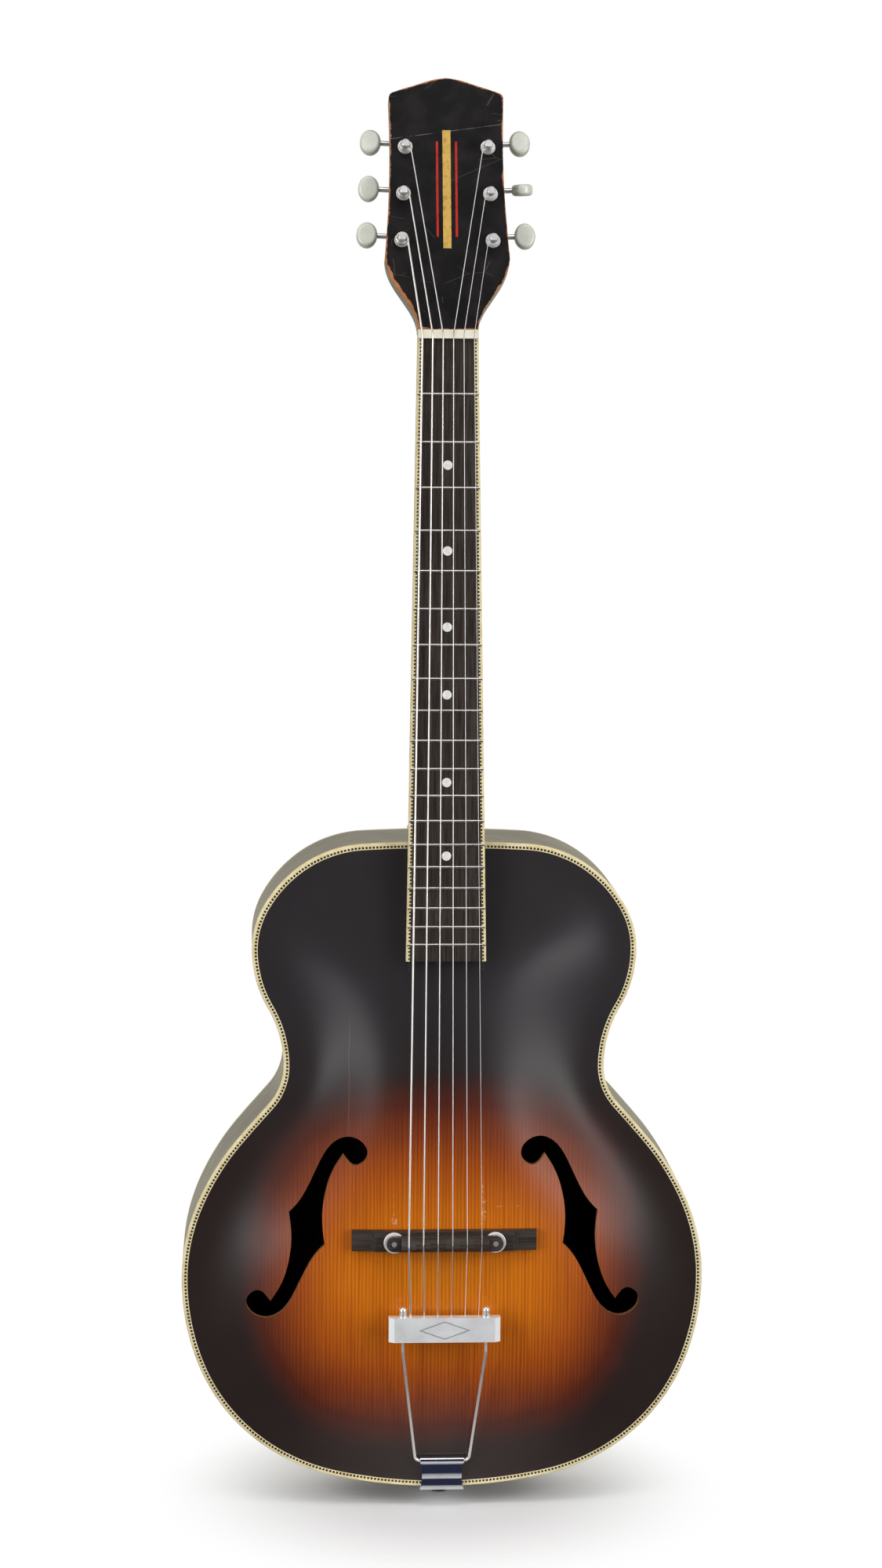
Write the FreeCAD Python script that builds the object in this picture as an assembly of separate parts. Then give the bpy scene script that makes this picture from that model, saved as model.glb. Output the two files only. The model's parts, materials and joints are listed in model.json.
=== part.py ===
import FreeCAD, Part
import math
import os

# Archtop guitar, millimetres.
# +Z runs up the neck, the front faces -Y and the bass side is -X.
# The origin is the lower end of the rim, on the centre line, at mid depth of the body.

V = FreeCAD.Vector

# Body outline: widths, their heights, and one shaping point per curve (inset, rise, heading)
BODY_LENGTH = 476.0
LOWER_BOUT = 379.0
LOWER_BOUT_Z = 156.0
WAIST = 231.6
WAIST_Z = 313.0
UPPER_BOUT = 277.2
UPPER_BOUT_Z = 398.0
LOWER_CORNER_INSET = 45.8
LOWER_CORNER_RISE = 43.3
LOWER_CORNER_HEADING = 43.0
FLANK_OUTSET = 32.2
FLANK_DROP = 52.7
FLANK_HEADING = 130.5
SHOULDER_INSET = 29.3
SHOULDER_DROP = 21.7
SHOULDER_HEADING = 140.0

# Body shell
BODY_DEPTH = 80.0
PLATE_EDGE = 5.0
PLATE_THICKNESS = 4.0
ARCH_HEIGHT = 15.0
ARCH_MARGIN = 11.0
ARCH_RUN = 95.0
ARCH_GRID = 11.0
BINDING_WIDTH = 4.2
RIB_THICKNESS = 2.2
LINING_THICKNESS = 6.0
LINING_HEIGHT = 14.0
NECK_BLOCK_WIDTH = 78.0
NECK_BLOCK_LENGTH = 48.0
END_BLOCK_WIDTH = 62.0
END_BLOCK_LENGTH = 26.0
TONE_BAR_WIDTH = 7.0
TONE_BAR_HEIGHT = 14.0
TONE_BAR_SPACING = 76.0
TONE_BAR_BOTTOM_Z = 112.0
TONE_BAR_TOP_Z = 392.0

# Sound holes: middle of one hole, then half of its outline about that middle
FHOLE_X = 99.1
FHOLE_Z = 196.0
FHOLE_HOOK = [(12.9, 11.7), (4.9, 20.7), (-6.3, 42.2), (-17.6, 61.2), (-30.9, 67.1),
              (-41.8, 61.2), (-42.8, 51.7), (-34.8, 46.4), (-28.9, 50.6), (-26.2, 54.2)]
FHOLE_STEM = [(-26.2, 54.2), (-17.9, 40.1), (-12.4, 21.1), (-11.2, 4.2), (-12.9, -11.7)]

# Fretboard and neck
SCALE_LENGTH = 641.35
FRET_COUNT = 19
BODY_FRET = 14
NUT_SETBACK = 3.0
NUT_WIDTH = 42.9
NUT_THICKNESS = 6.2
NUT_RISE = 2.5
NECK_ANGLE = 2.7
BOARD_RISE = 15.0
BOARD_THICKNESS = 6.0
BOARD_TAIL = 12.0
BOARD_END_WIDTH = 57.4
BOARD_BINDING = 2.8
FRET_WIDTH = 2.0
FRET_HEIGHT = 1.0
FRET_TANG_WIDTH = 0.6
FRET_TANG_DEPTH = 1.8
FRET_END_GAP = 0.5
DOT_FRETS = [3, 5, 7, 9, 12, 15]
DOT_DIAMETER = 6.6
DOT_DEPTH = 1.4
NECK_DEPTH_NUT = 15.5
NECK_DEPTH_BODY = 19.5
HEEL_DEPTH = 74.0
HEEL_LENGTH = 62.0
TENON_WIDTH = 32.0
TENON_LENGTH = 20.0
TENON_DEPTH = 54.0

# Headstock
HEAD_PITCH = 13.0
HEAD_DROP = 1.5
HEAD_THICKNESS = 14.5
VENEER = 1.5
HEAD_LENGTH = 186.0
HEAD_CORNER_DROP = 12.0
HEAD_CORNER_ROUND = 3.0
HEAD_TOP_WIDTH = 82.0
HEAD_NARROW_WIDTH = 81.0
HEAD_NARROW_Z = 115.0
HEAD_WIDE_WIDTH = 88.8
HEAD_WIDE_Z = 52.5

# Tuners: three on each strip
TUNER_FIRST_Z = 65.3
TUNER_SPACING = 34.5
TUNER_FIRST_X = 32.4
TUNER_TOE_IN = 2.4
POST_DIAMETER = 6.0
POST_RISE = 10.0
POST_RUN_GAP = 0.06
BUSHING_FLANGE = 10.5
BUSHING_FLANGE_THICKNESS = 1.2
BUSHING_SLEEVE = 8.6
BUSHING_DEPTH = 7.0
STRIP_WIDTH = 15.0
STRIP_THICKNESS = 1.2
STRIP_END = 16.0
GEAR_TEETH = 14
GEAR_MODULE = 0.9
GEAR_THICKNESS = 3.0
WORM_PITCH_RADIUS = 2.3
MESH_ADDENDUM = 0.65
MESH_DEDENDUM = 0.9
TOOTH_WIDTH = 1.0
THREAD_WIDTH = 0.8
TOOTH_TAPER = 0.25
THREAD_TURNS = 3.0
WORM_GAP = 0.35
SHAFT_DIAMETER = 3.8
LUG_GAP = 0.2
LUG_THICKNESS = 1.6
LUG_WIDTH = 7.0
COLLAR_WIDTH = 0.6
BUTTON_REACH = 24.5
BUTTON_LENGTH = 15.0
BUTTON_WIDTH = 18.4
BUTTON_THICKNESS = 8.0
BUTTON_ROUND = 2.6
STRIP_SCREW_HEAD = 4.6
STRIP_SCREW_SHANK = 2.4
STRIP_SCREW_LENGTH = 9.0
# Turn of each knob about its shaft as it stands, string 1 (thinnest) to 6
BUTTON_TURNS = [4.0, 106.0, -6.0, 5.0, -8.0, 3.0]

# Strings, thinnest first
STRING_DIAMETERS = [0.30, 0.41, 0.61, 0.81, 1.07, 1.37]
STRING_COMPENSATION = [1.6, 2.6, 3.2, 1.8, 2.8, 4.0]
NUT_SPREAD = 36.7
SADDLE_SPREAD = 52.5
TAIL_SPREAD = 48.8
STRING_RISE_NUT = 1.9
STRING_RISE_SADDLE = 5.9
STRING_SLOT_GAP = 0.06
SLOT_RUN = 11.0
STRING_BEND = 5.0
WRAP_TURNS = 2.25
WRAP_GAP = 0.46
WRAP_POST_GAP = 0.15
BALL_DIAMETER = 4.0
BALL_LENGTH = 3.6

# Bridge
BASE_LENGTH = 133.5
BASE_WIDTH = 15.0
BASE_CENTRE_LENGTH = 100.0
BASE_HEIGHT = 6.6
BASE_WING_HEIGHT = 3.6
STUD_SPACING = 73.0
STUD_DIAMETER = 4.0
STUD_GAP = 0.15
WHEEL_DIAMETER = 15.0
WHEEL_THICKNESS = 3.0
WHEEL_STANDOFF = 1.8
SADDLE_LENGTH = 84.0
SADDLE_WIDTH = 11.0
SADDLE_FOOT = 4.0
SADDLE_CREST = 2.4
SADDLE_CREST_WIDTH = 9.4
STUD_REACH = 3.6
STUD_TRAVEL_ROOM = 2.4

# Tailpiece
TAIL_BAR_LENGTH = 80.5
TAIL_BAR_HEIGHT = 18.0
TAIL_BAR_DEPTH = 8.0
TAIL_BAR_SHEET = 1.8
TAIL_BAR_GAP = 73.811054
TAIL_BAR_DROP = 7.6
TAIL_BAR_END = 4.0
TAIL_BAR_FOLD = 2.6
TAIL_DIAMOND_LENGTH = 35.0
TAIL_DIAMOND_HEIGHT = 12.6
TAIL_DIAMOND_RISE = 0.4
FRAME_WIRE = 2.2
FRAME_TOP_SPACING = 60.0
FRAME_FOOT_SPACING = 39.0
FRAME_BEND = 4.0
FRAME_HOLE_GAP = 0.1
TAIL_NUT_DIAMETER = 5.6
TAIL_NUT_HEIGHT = 7.6
HANGER_WIDTH = 32.0
HANGER_WAIST = 29.0
HANGER_SHEET = 1.4
HANGER_STANDOFF = 0.7
HANGER_ROLL_Z = 21.0
HANGER_ROLL_WALL = 1.3
HANGER_TAIL = 58.0
PIN_SHANK = 7.0
PIN_SHANK_LENGTH = 22.0
PIN_FLANGE = 15.0
PIN_FLANGE_THICKNESS = 2.0
PIN_NECK = 9.0
PIN_NECK_LENGTH = 6.5
PIN_HEAD = 13.5
PIN_HEAD_THICKNESS = 5.0
PIN_HEAD_ROUND = 1.0
HANGER_SCREW_HEAD = 6.0
HANGER_SCREW_SHANK = 3.0
HANGER_SCREW_LENGTH = 14.0

# Worked-out planes and places
FRONT = -BODY_DEPTH / 2
BACK = BODY_DEPTH / 2
FAR = BODY_LENGTH + SCALE_LENGTH
BODY_FRET_LENGTH = SCALE_LENGTH * 2 ** (-BODY_FRET / 12)
NUT_Z = SCALE_LENGTH - BODY_FRET_LENGTH + NUT_SETBACK
SADDLE_Z = -BODY_FRET_LENGTH
TAIL_BAR_Z = BODY_LENGTH + SADDLE_Z - TAIL_BAR_GAP
LAST_FRET_Z = SCALE_LENGTH * 2 ** (-FRET_COUNT / 12) - BODY_FRET_LENGTH
BOARD_END_Z = LAST_FRET_Z - BOARD_TAIL
GEAR_RADIUS = GEAR_MODULE * GEAR_TEETH / 2
MESH_DISTANCE = GEAR_RADIUS + WORM_PITCH_RADIUS
WORM_TIP = WORM_PITCH_RADIUS + MESH_ADDENDUM
WORM_ROOT = WORM_PITCH_RADIUS - MESH_DEDENDUM
THREAD_PITCH = math.pi * GEAR_MODULE
GEAR_Y = HEAD_THICKNESS + STRIP_THICKNESS + WORM_TIP + WORM_GAP
WORM_HALF = THREAD_PITCH * THREAD_TURNS / 2 + THREAD_WIDTH
COLLAR_END = WORM_HALF + COLLAR_WIDTH
LUG_INNER = COLLAR_END + LUG_GAP

# Frames that the neck and the headstock are drawn in: +Y to the back, +Z up the neck
NECK_FRAME = FreeCAD.Placement(V(0, FRONT - BOARD_RISE, BODY_LENGTH),
                               FreeCAD.Rotation(V(1, 0, 0), -NECK_ANGLE))
HEAD_FRAME = NECK_FRAME.multiply(FreeCAD.Placement(V(0, HEAD_DROP, NUT_Z + NUT_THICKNESS),
                                                   FreeCAD.Rotation(V(1, 0, 0), -HEAD_PITCH)))


# Small geometry helpers

def box(x0, x1, y0, y1, z0, z1):
    """Box between two opposite corners."""
    return Part.makeBox(x1 - x0, y1 - y0, z1 - z0, V(x0, y0, z0))


def placed(shape, placement):
    """Copy of a shape, moved by a placement."""
    moved = shape.copy()
    moved.Placement = placement.multiply(moved.Placement)
    return moved


def mirrored(shape):
    """Copy of a shape on the other side of the centre line."""
    return shape.mirror(V(0, 0, 0), V(1, 0, 0))


def prism(points, y0, y1):
    """Solid with a polygon outline in X and Z, between two depths."""
    corners = [V(x, y0, z) for x, z in points]
    return Part.Face(Part.makePolygon(corners + corners[:1])).extrude(V(0, y1 - y0, 0))


def plan_prism(points, z0, z1):
    """Solid with a polygon outline in X and Y, between two heights."""
    corners = [V(x, y, z0) for x, y in points]
    return Part.Face(Part.makePolygon(corners + corners[:1])).extrude(V(0, 0, z1 - z0))


def rod(radius, start, end):
    """Round bar between two points."""
    return Part.makeCylinder(radius, (end - start).Length, start, end - start)


def unit(vector):
    """Vector of length one along the given one."""
    return vector * (1.0 / vector.Length)


def arc_from_tangent(start, tangent, end):
    """Start, middle and end of the arc that leaves start along tangent."""
    chord = end - start
    side = chord - tangent * chord.dot(tangent)
    if side.Length < 1e-6 * chord.Length:
        return start, (start + end) * 0.5, end
    side = unit(side)
    radius = chord.Length ** 2 / (2 * chord.dot(side))
    centre = start + side * radius
    return start, centre + unit(start + end - centre * 2) * radius, end


def biarc(start, start_tangent, end, end_tangent):
    """Two arcs that join two points and keep both tangents."""
    gap = end - start
    total = start_tangent + end_tangent
    bend = 2 * (1 - start_tangent.dot(end_tangent))
    if bend < 1e-9:
        reach = gap.dot(gap) / (4 * gap.dot(end_tangent))
    else:
        along = gap.dot(total)
        reach = (math.sqrt(along ** 2 + bend * gap.dot(gap)) - along) / bend
    joint = (start + start_tangent * reach + end - end_tangent * reach) * 0.5
    last = arc_from_tangent(end, end_tangent * -1, joint)
    return [arc_from_tangent(start, start_tangent, joint), last[::-1]]


def arc_edge(start, middle, end):
    """Edge through three points, straight where they are in line."""
    if (middle - start).cross(end - start).Length < 1e-6 * (end - start).Length:
        return Part.LineSegment(start, end).toShape()
    return Part.Arc(start, middle, end).toShape()


def spline_edge(points):
    """Smooth edge through a list of points."""
    curve = Part.BSplineCurve()
    curve.interpolate(points)
    return curve.toShape()


def tube(edges, radius):
    """Round tube along joined edges."""
    path = Part.Wire(edges)
    start = path.Edges[0].valueAt(path.Edges[0].FirstParameter)
    heading = path.Edges[0].tangentAt(path.Edges[0].FirstParameter)
    section = Part.Wire(Part.makeCircle(radius, start, heading))
    return path.makePipeShell([section], True, False)


def slot_cutter(bend, targets, radius, opening):
    """Cutter for an open slot that follows a string from its bend towards two targets."""
    across = V(radius, 0, 0)
    ends = [bend + unit(target - bend) * SLOT_RUN for target in targets]
    path = [ends[0], bend, ends[1]]
    plan = [p - opening * p.dot(opening) for p in path]
    plan = [p - across for p in plan] + [p + across for p in reversed(plan)]
    walls = Part.Face(Part.makePolygon(plan + plan[:1])).extrude(opening * FAR)
    side = [p - opening * radius for p in path] + [p + opening * SLOT_RUN for p in reversed(path)]
    side = [V(-FAR, p.y, p.z) for p in side]
    floor = Part.Face(Part.makePolygon(side + side[:1])).extrude(V(2 * FAR, 0, 0))
    return walls.common(floor)


def bent_path(points, radius):
    """Straight runs through points, with an arc of one radius at each inner point."""
    edges = []
    start = points[0]
    for before, corner, after in zip(points, points[1:], points[2:]):
        inward = unit(before - corner)
        outward = unit(after - corner)
        half_turn = (math.pi - inward.getAngle(outward)) / 2
        setback = radius * math.tan(half_turn)
        first = corner + inward * setback
        last = corner + outward * setback
        edges.append(Part.LineSegment(start, first).toShape())
        edges.append(arc_edge(*arc_from_tangent(first, inward * -1, last)))
        start = last
    edges.append(Part.LineSegment(start, points[-1]).toShape())
    return edges


def save(name, solids):
    """Write one sub-part as a STEP file."""
    shape = solids[0] if len(solids) == 1 else Part.makeCompound(solids)
    shape.exportStep("parts/" + name + ".step")


# Body outline and arching

def outline_arcs():
    """Arcs of the right half of the rim, from the lower to the upper end."""
    stations = [
        (0.0, 0.0, 0.0),
        (LOWER_BOUT / 2 - LOWER_CORNER_INSET, LOWER_CORNER_RISE, LOWER_CORNER_HEADING),
        (LOWER_BOUT / 2, LOWER_BOUT_Z, 90.0),
        (WAIST / 2 + FLANK_OUTSET, WAIST_Z - FLANK_DROP, FLANK_HEADING),
        (WAIST / 2, WAIST_Z, 90.0),
        (UPPER_BOUT / 2, UPPER_BOUT_Z, 90.0),
        (UPPER_BOUT / 2 - SHOULDER_INSET, BODY_LENGTH - SHOULDER_DROP, SHOULDER_HEADING),
        (0.0, BODY_LENGTH, 180.0),
    ]
    nodes = []
    for x, z, heading in stations:
        turn = math.radians(heading)
        nodes.append((V(x, 0, z), V(math.cos(turn), 0, math.sin(turn))))
    arcs = []
    for (start, start_tangent), (end, end_tangent) in zip(nodes, nodes[1:]):
        arcs += biarc(start, start_tangent, end, end_tangent)
    return arcs


RIM_ARCS = outline_arcs()


def inset_arc(arc, inset):
    """The same arc moved towards the inside of the body, with its centre kept."""
    start, middle, end = arc
    chord = end - start
    inside = unit(V(-chord.z, 0, chord.x))
    if (middle - start).cross(chord).Length < 1e-6 * chord.Length:
        return [point + inside * inset for point in arc]
    centre = arc_edge(start, middle, end).Curve.Center
    sign = 1 if (centre - middle).dot(inside) > 0 else -1
    return [point + unit(centre - point) * (sign * inset) for point in arc]


def outline_wire(inset, y):
    """Closed rim outline, inset by a distance, at one depth."""
    right = [[V(p.x, y, p.z) for p in inset_arc(arc, inset)] for arc in RIM_ARCS]
    left = [[V(-p.x, y, p.z) for p in reversed(arc)] for arc in reversed(right)]
    return Part.Wire([arc_edge(*arc) for arc in right + left])


def outline_solid(inset, y0, y1):
    """Solid body outline between two depths."""
    return Part.Face(outline_wire(inset, y0)).extrude(V(0, y1 - y0, 0))


def rim_ring(outer_inset, inner_inset, y0, y1):
    """Ring that follows the rim."""
    return outline_solid(outer_inset, y0, y1).cut(outline_solid(inner_inset, y0 - 1, y1 + 1))


def arch_grid():
    """Grid of (x, z, share of the arch height) over the whole outline."""
    rim = [(p.x, p.z) for p in outline_wire(0, 0).discretize(Number=241)][:-1]
    step = math.dist(rim[0], rim[1])

    def share(x, z):
        inside = False
        pull = 0.0
        for (ax, az), (bx, bz) in zip(rim, rim[1:] + rim[:1]):
            if (az > z) != (bz > z) and x < ax + (z - az) * (bx - ax) / (bz - az):
                inside = not inside
            pull += step / ((x - ax) ** 2 + (z - az) ** 2 + 1e-6) ** 1.5
        reach = (pull / 2) ** -0.5 if inside else 0.0
        t = min(max((reach - ARCH_MARGIN) / ARCH_RUN, 0.0), 1.0)
        return t * t * (3 - 2 * t)

    half_columns = math.ceil(max(LOWER_BOUT, UPPER_BOUT, WAIST) / 2 / ARCH_GRID) + 1
    rows = math.ceil(BODY_LENGTH / ARCH_GRID) + 2
    grid = []
    for row in range(-1, rows):
        z = row * ARCH_GRID
        half = [share(column * ARCH_GRID, z) for column in range(half_columns + 1)]
        line = []
        for column in range(-half_columns, half_columns + 1):
            line.append((column * ARCH_GRID, z, half[abs(column)]))
        grid.append(line)
    return grid


ARCH = arch_grid()


def behind_arch(base_y, rise, direction):
    """Solid on one side of an arched surface; direction is +1 for all that lies towards +Y."""
    points = [[V(x, base_y + rise * share, z) for x, z, share in line] for line in ARCH]
    surface = Part.BSplineSurface()
    surface.interpolate(points)
    return surface.toShape().extrude(V(0, direction * FAR, 0))


INNER_SLACK = 1.0
INNER_RISE = ARCH_HEIGHT + PLATE_EDGE + INNER_SLACK - PLATE_THICKNESS
TOP_OUTER = behind_arch(FRONT, -ARCH_HEIGHT, 1)
TOP_INNER = behind_arch(FRONT + PLATE_EDGE + INNER_SLACK, -INNER_RISE, 1)
BACK_OUTER = behind_arch(BACK, ARCH_HEIGHT, -1)
BACK_INNER = behind_arch(BACK - PLATE_EDGE - INNER_SLACK, INNER_RISE, -1)


# Body pieces

def sound_hole():
    """Cutter for the treble-side sound hole."""
    edges = []
    for turn in (1, -1):
        for run in (FHOLE_HOOK, FHOLE_STEM):
            edges.append(spline_edge([V(FHOLE_X + turn * x, FRONT - FAR / 2, FHOLE_Z + turn * z)
                                      for x, z in run]))
    return Part.Face(Part.Wire(edges)).extrude(V(0, FAR, 0))


def make_soundboard():
    hole = sound_hole()
    blank = outline_solid(BINDING_WIDTH, FRONT - FAR / 2, FRONT + PLATE_EDGE)
    return blank.common(TOP_OUTER).cut(TOP_INNER).cut([hole, mirrored(hole)])


def make_back():
    blank = outline_solid(BINDING_WIDTH, BACK - PLATE_EDGE, BACK + FAR / 2)
    return blank.common(BACK_OUTER).cut(BACK_INNER)


def make_bindings():
    return [rim_ring(0, BINDING_WIDTH, FRONT, FRONT + PLATE_EDGE),
            rim_ring(0, BINDING_WIDTH, BACK - PLATE_EDGE, BACK)]


def tenon_solid():
    """Tenon of the neck, in the block at the upper end."""
    top = FRONT + PLATE_EDGE + RIB_THICKNESS
    return box(-TENON_WIDTH / 2, TENON_WIDTH / 2, top, top + TENON_DEPTH,
               BODY_LENGTH - TENON_LENGTH, BODY_LENGTH + RIB_THICKNESS)


def pin_shank():
    """Shank of the end pin, from the hanger into the end block."""
    return rod(PIN_SHANK / 2, V(0, 0, -HANGER_SHEET), V(0, 0, PIN_SHANK_LENGTH))


def hanger_screw_places():
    """Depths of the two hanger screws, on the end of the rim."""
    return [FRONT + PLATE_EDGE + LINING_HEIGHT, HANGER_TAIL + FRONT - HANGER_SCREW_HEAD]


def hanger_screw_shanks():
    return [rod(HANGER_SCREW_SHANK / 2, V(0, y, -HANGER_SHEET), V(0, y, HANGER_SCREW_LENGTH))
            for y in hanger_screw_places()]


def make_ribs():
    ring = rim_ring(0, RIB_THICKNESS, FRONT + PLATE_EDGE, BACK - PLATE_EDGE)
    ring = ring.cut([tenon_solid(), pin_shank()] + hanger_screw_shanks())
    right = ring.common(box(0, FAR * 2, -FAR, FAR, -FAR, BODY_LENGTH + FAR))
    return [right, mirrored(right)]


def inner_block(width, z0, z1):
    """Block that fills the rim's end between the two plates."""
    core = outline_solid(RIB_THICKNESS, FRONT + PLATE_EDGE, BACK - PLATE_EDGE)
    return core.common(box(-width / 2, width / 2, -FAR, FAR, z0, z1))


def make_neck_block():
    block = inner_block(NECK_BLOCK_WIDTH, BODY_LENGTH - NECK_BLOCK_LENGTH, BODY_LENGTH)
    return block.cut(tenon_solid())


def make_end_block():
    block = inner_block(END_BLOCK_WIDTH, 0, END_BLOCK_LENGTH)
    return block.cut([pin_shank()] + hanger_screw_shanks())


def make_linings():
    inner = RIB_THICKNESS + LINING_THICKNESS
    pieces = []
    for y0 in (FRONT + PLATE_EDGE, BACK - PLATE_EDGE - LINING_HEIGHT):
        ring = rim_ring(RIB_THICKNESS, inner, y0, y0 + LINING_HEIGHT)
        right = ring.common(box(0, FAR * 2, -FAR, FAR, -FAR, BODY_LENGTH + FAR))
        right = right.cut([
            box(-FAR, NECK_BLOCK_WIDTH / 2, -FAR, FAR, BODY_LENGTH - NECK_BLOCK_LENGTH, BODY_LENGTH + FAR),
            box(-FAR, END_BLOCK_WIDTH / 2, -FAR, FAR, -FAR, END_BLOCK_LENGTH)])
        pieces += [right, mirrored(right)]
    return pieces


def make_tone_bars():
    under = FRONT - ARCH_HEIGHT + PLATE_THICKNESS + TONE_BAR_HEIGHT
    x = TONE_BAR_SPACING / 2
    blank = box(x - TONE_BAR_WIDTH / 2, x + TONE_BAR_WIDTH / 2, FRONT - FAR / 2, under,
                TONE_BAR_BOTTOM_Z, TONE_BAR_TOP_Z)
    bar = blank.common(TOP_INNER)
    return [bar, mirrored(bar)]


# Neck, fretboard and headstock; drawn in the neck's own frame

def fret_z(number):
    """Height of a fret above the body joint; zero is the open string."""
    return SCALE_LENGTH * 2 ** (-number / 12) - BODY_FRET_LENGTH


def board_width(z):
    share = (NUT_Z - z) / (NUT_Z - BOARD_END_Z)
    return NUT_WIDTH + (BOARD_END_WIDTH - NUT_WIDTH) * share


def board_plan(edge_inset, y0, y1):
    """Tapered fretboard plan between two depths."""
    low = board_width(BOARD_END_Z) / 2 - edge_inset
    high = NUT_WIDTH / 2 - edge_inset
    return prism([(-low, BOARD_END_Z), (low, BOARD_END_Z), (high, NUT_Z), (-high, NUT_Z)], y0, y1)


def neck_section(z, width, depth, flat, deep):
    """Rounded section of the neck behind the fretboard."""
    sides = [(width / 2, 0), (width * flat, depth * 0.45), (width * deep, depth * 0.85), (0, depth)]
    right = [V(x, BOARD_THICKNESS + y, z) for x, y in sides]
    left = [V(-p.x, p.y, p.z) for p in reversed(right)]
    return Part.Wire([spline_edge(right + left[1:]), Part.LineSegment(left[-1], right[0]).toShape()])


def head_outline():
    """Closed outline of the headstock face, in the headstock's frame."""
    nut = NUT_WIDTH / 2
    wide = HEAD_WIDE_WIDTH / 2
    corner = V(HEAD_TOP_WIDTH / 2, 0, HEAD_LENGTH - HEAD_CORNER_DROP)
    widest = V(wide, 0, HEAD_WIDE_Z)
    flare = [V(nut, 0, 0), V(nut + (wide - nut) * 0.1, 0, HEAD_WIDE_Z * 0.2),
             V(nut + (wide - nut) * 0.46, 0, HEAD_WIDE_Z * 0.47),
             V(nut + (wide - nut) * 0.84, 0, HEAD_WIDE_Z * 0.74), widest]
    down = V(0, 0, -1)
    along = unit(V(-corner.x * 0.26, 0, HEAD_CORNER_DROP * 0.32))
    half = down.getAngle(along) / 2
    side_end = corner + down * HEAD_CORNER_ROUND
    top_end = corner + along * HEAD_CORNER_ROUND
    eased = corner + unit(down + along) * HEAD_CORNER_ROUND * (1 - math.sin(half)) / math.cos(half)
    top = [top_end, V(corner.x * 0.74, 0, HEAD_LENGTH - HEAD_CORNER_DROP * 0.68),
           V(corner.x * 0.5, 0, HEAD_LENGTH - HEAD_CORNER_DROP * 0.42),
           V(corner.x * 0.24, 0, HEAD_LENGTH - HEAD_CORNER_DROP * 0.13), V(0, 0, HEAD_LENGTH)]
    right = [spline_edge(flare),
             Part.Arc(widest, V(HEAD_NARROW_WIDTH / 2, 0, HEAD_NARROW_Z), side_end).toShape(),
             Part.Arc(side_end, eased, top_end).toShape(), spline_edge(top)]
    left = [mirrored(edge) for edge in right]
    foot = Part.LineSegment(V(-nut, 0, 0), V(nut, 0, 0)).toShape()
    return Part.Wire(Part.sortEdges(right + left + [foot])[0])


def tuner_places():
    """Post place, side and strip turn of the tuners, string 1 (treble, lowest) to 6."""
    places = []
    lean = math.radians(TUNER_TOE_IN)
    for string in range(6):
        side = 1 if string < 3 else -1
        row = string if string < 3 else 5 - string
        along = row * TUNER_SPACING
        x = side * (TUNER_FIRST_X - along * math.sin(lean))
        z = TUNER_FIRST_Z + along * math.cos(lean)
        places.append((V(x, 0, z), side))
    return places


TUNERS = tuner_places()


def tuner_frame(string):
    """Frame of one tuner: origin on the face at the post, +Z up along its strip."""
    place, side = TUNERS[string]
    turn = FreeCAD.Rotation(V(0, 1, 0), -TUNER_TOE_IN * side)
    return HEAD_FRAME.multiply(FreeCAD.Placement(place, turn))


def post_holes():
    """Stepped holes for the bushings and posts, in the headstock's frame."""
    cutters = []
    for place, side in TUNERS:
        front = V(place.x, -1, place.z)
        sleeve_end = V(place.x, BUSHING_DEPTH, place.z)
        cutters.append(rod(BUSHING_SLEEVE / 2, front, sleeve_end))
        cutters.append(rod(POST_DIAMETER / 2 + STUD_GAP, front, V(place.x, FAR, place.z)))
    return cutters


def nut_seat():
    """Room that the nut takes in front of the neck."""
    return placed(box(-FAR, FAR, -FAR, BOARD_THICKNESS, NUT_Z, NUT_Z + NUT_THICKNESS), NECK_FRAME)


def make_veneer():
    face = Part.Face(head_outline()).extrude(V(0, VENEER, 0))
    return placed(face.cut(post_holes()), HEAD_FRAME).cut(nut_seat())


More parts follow.
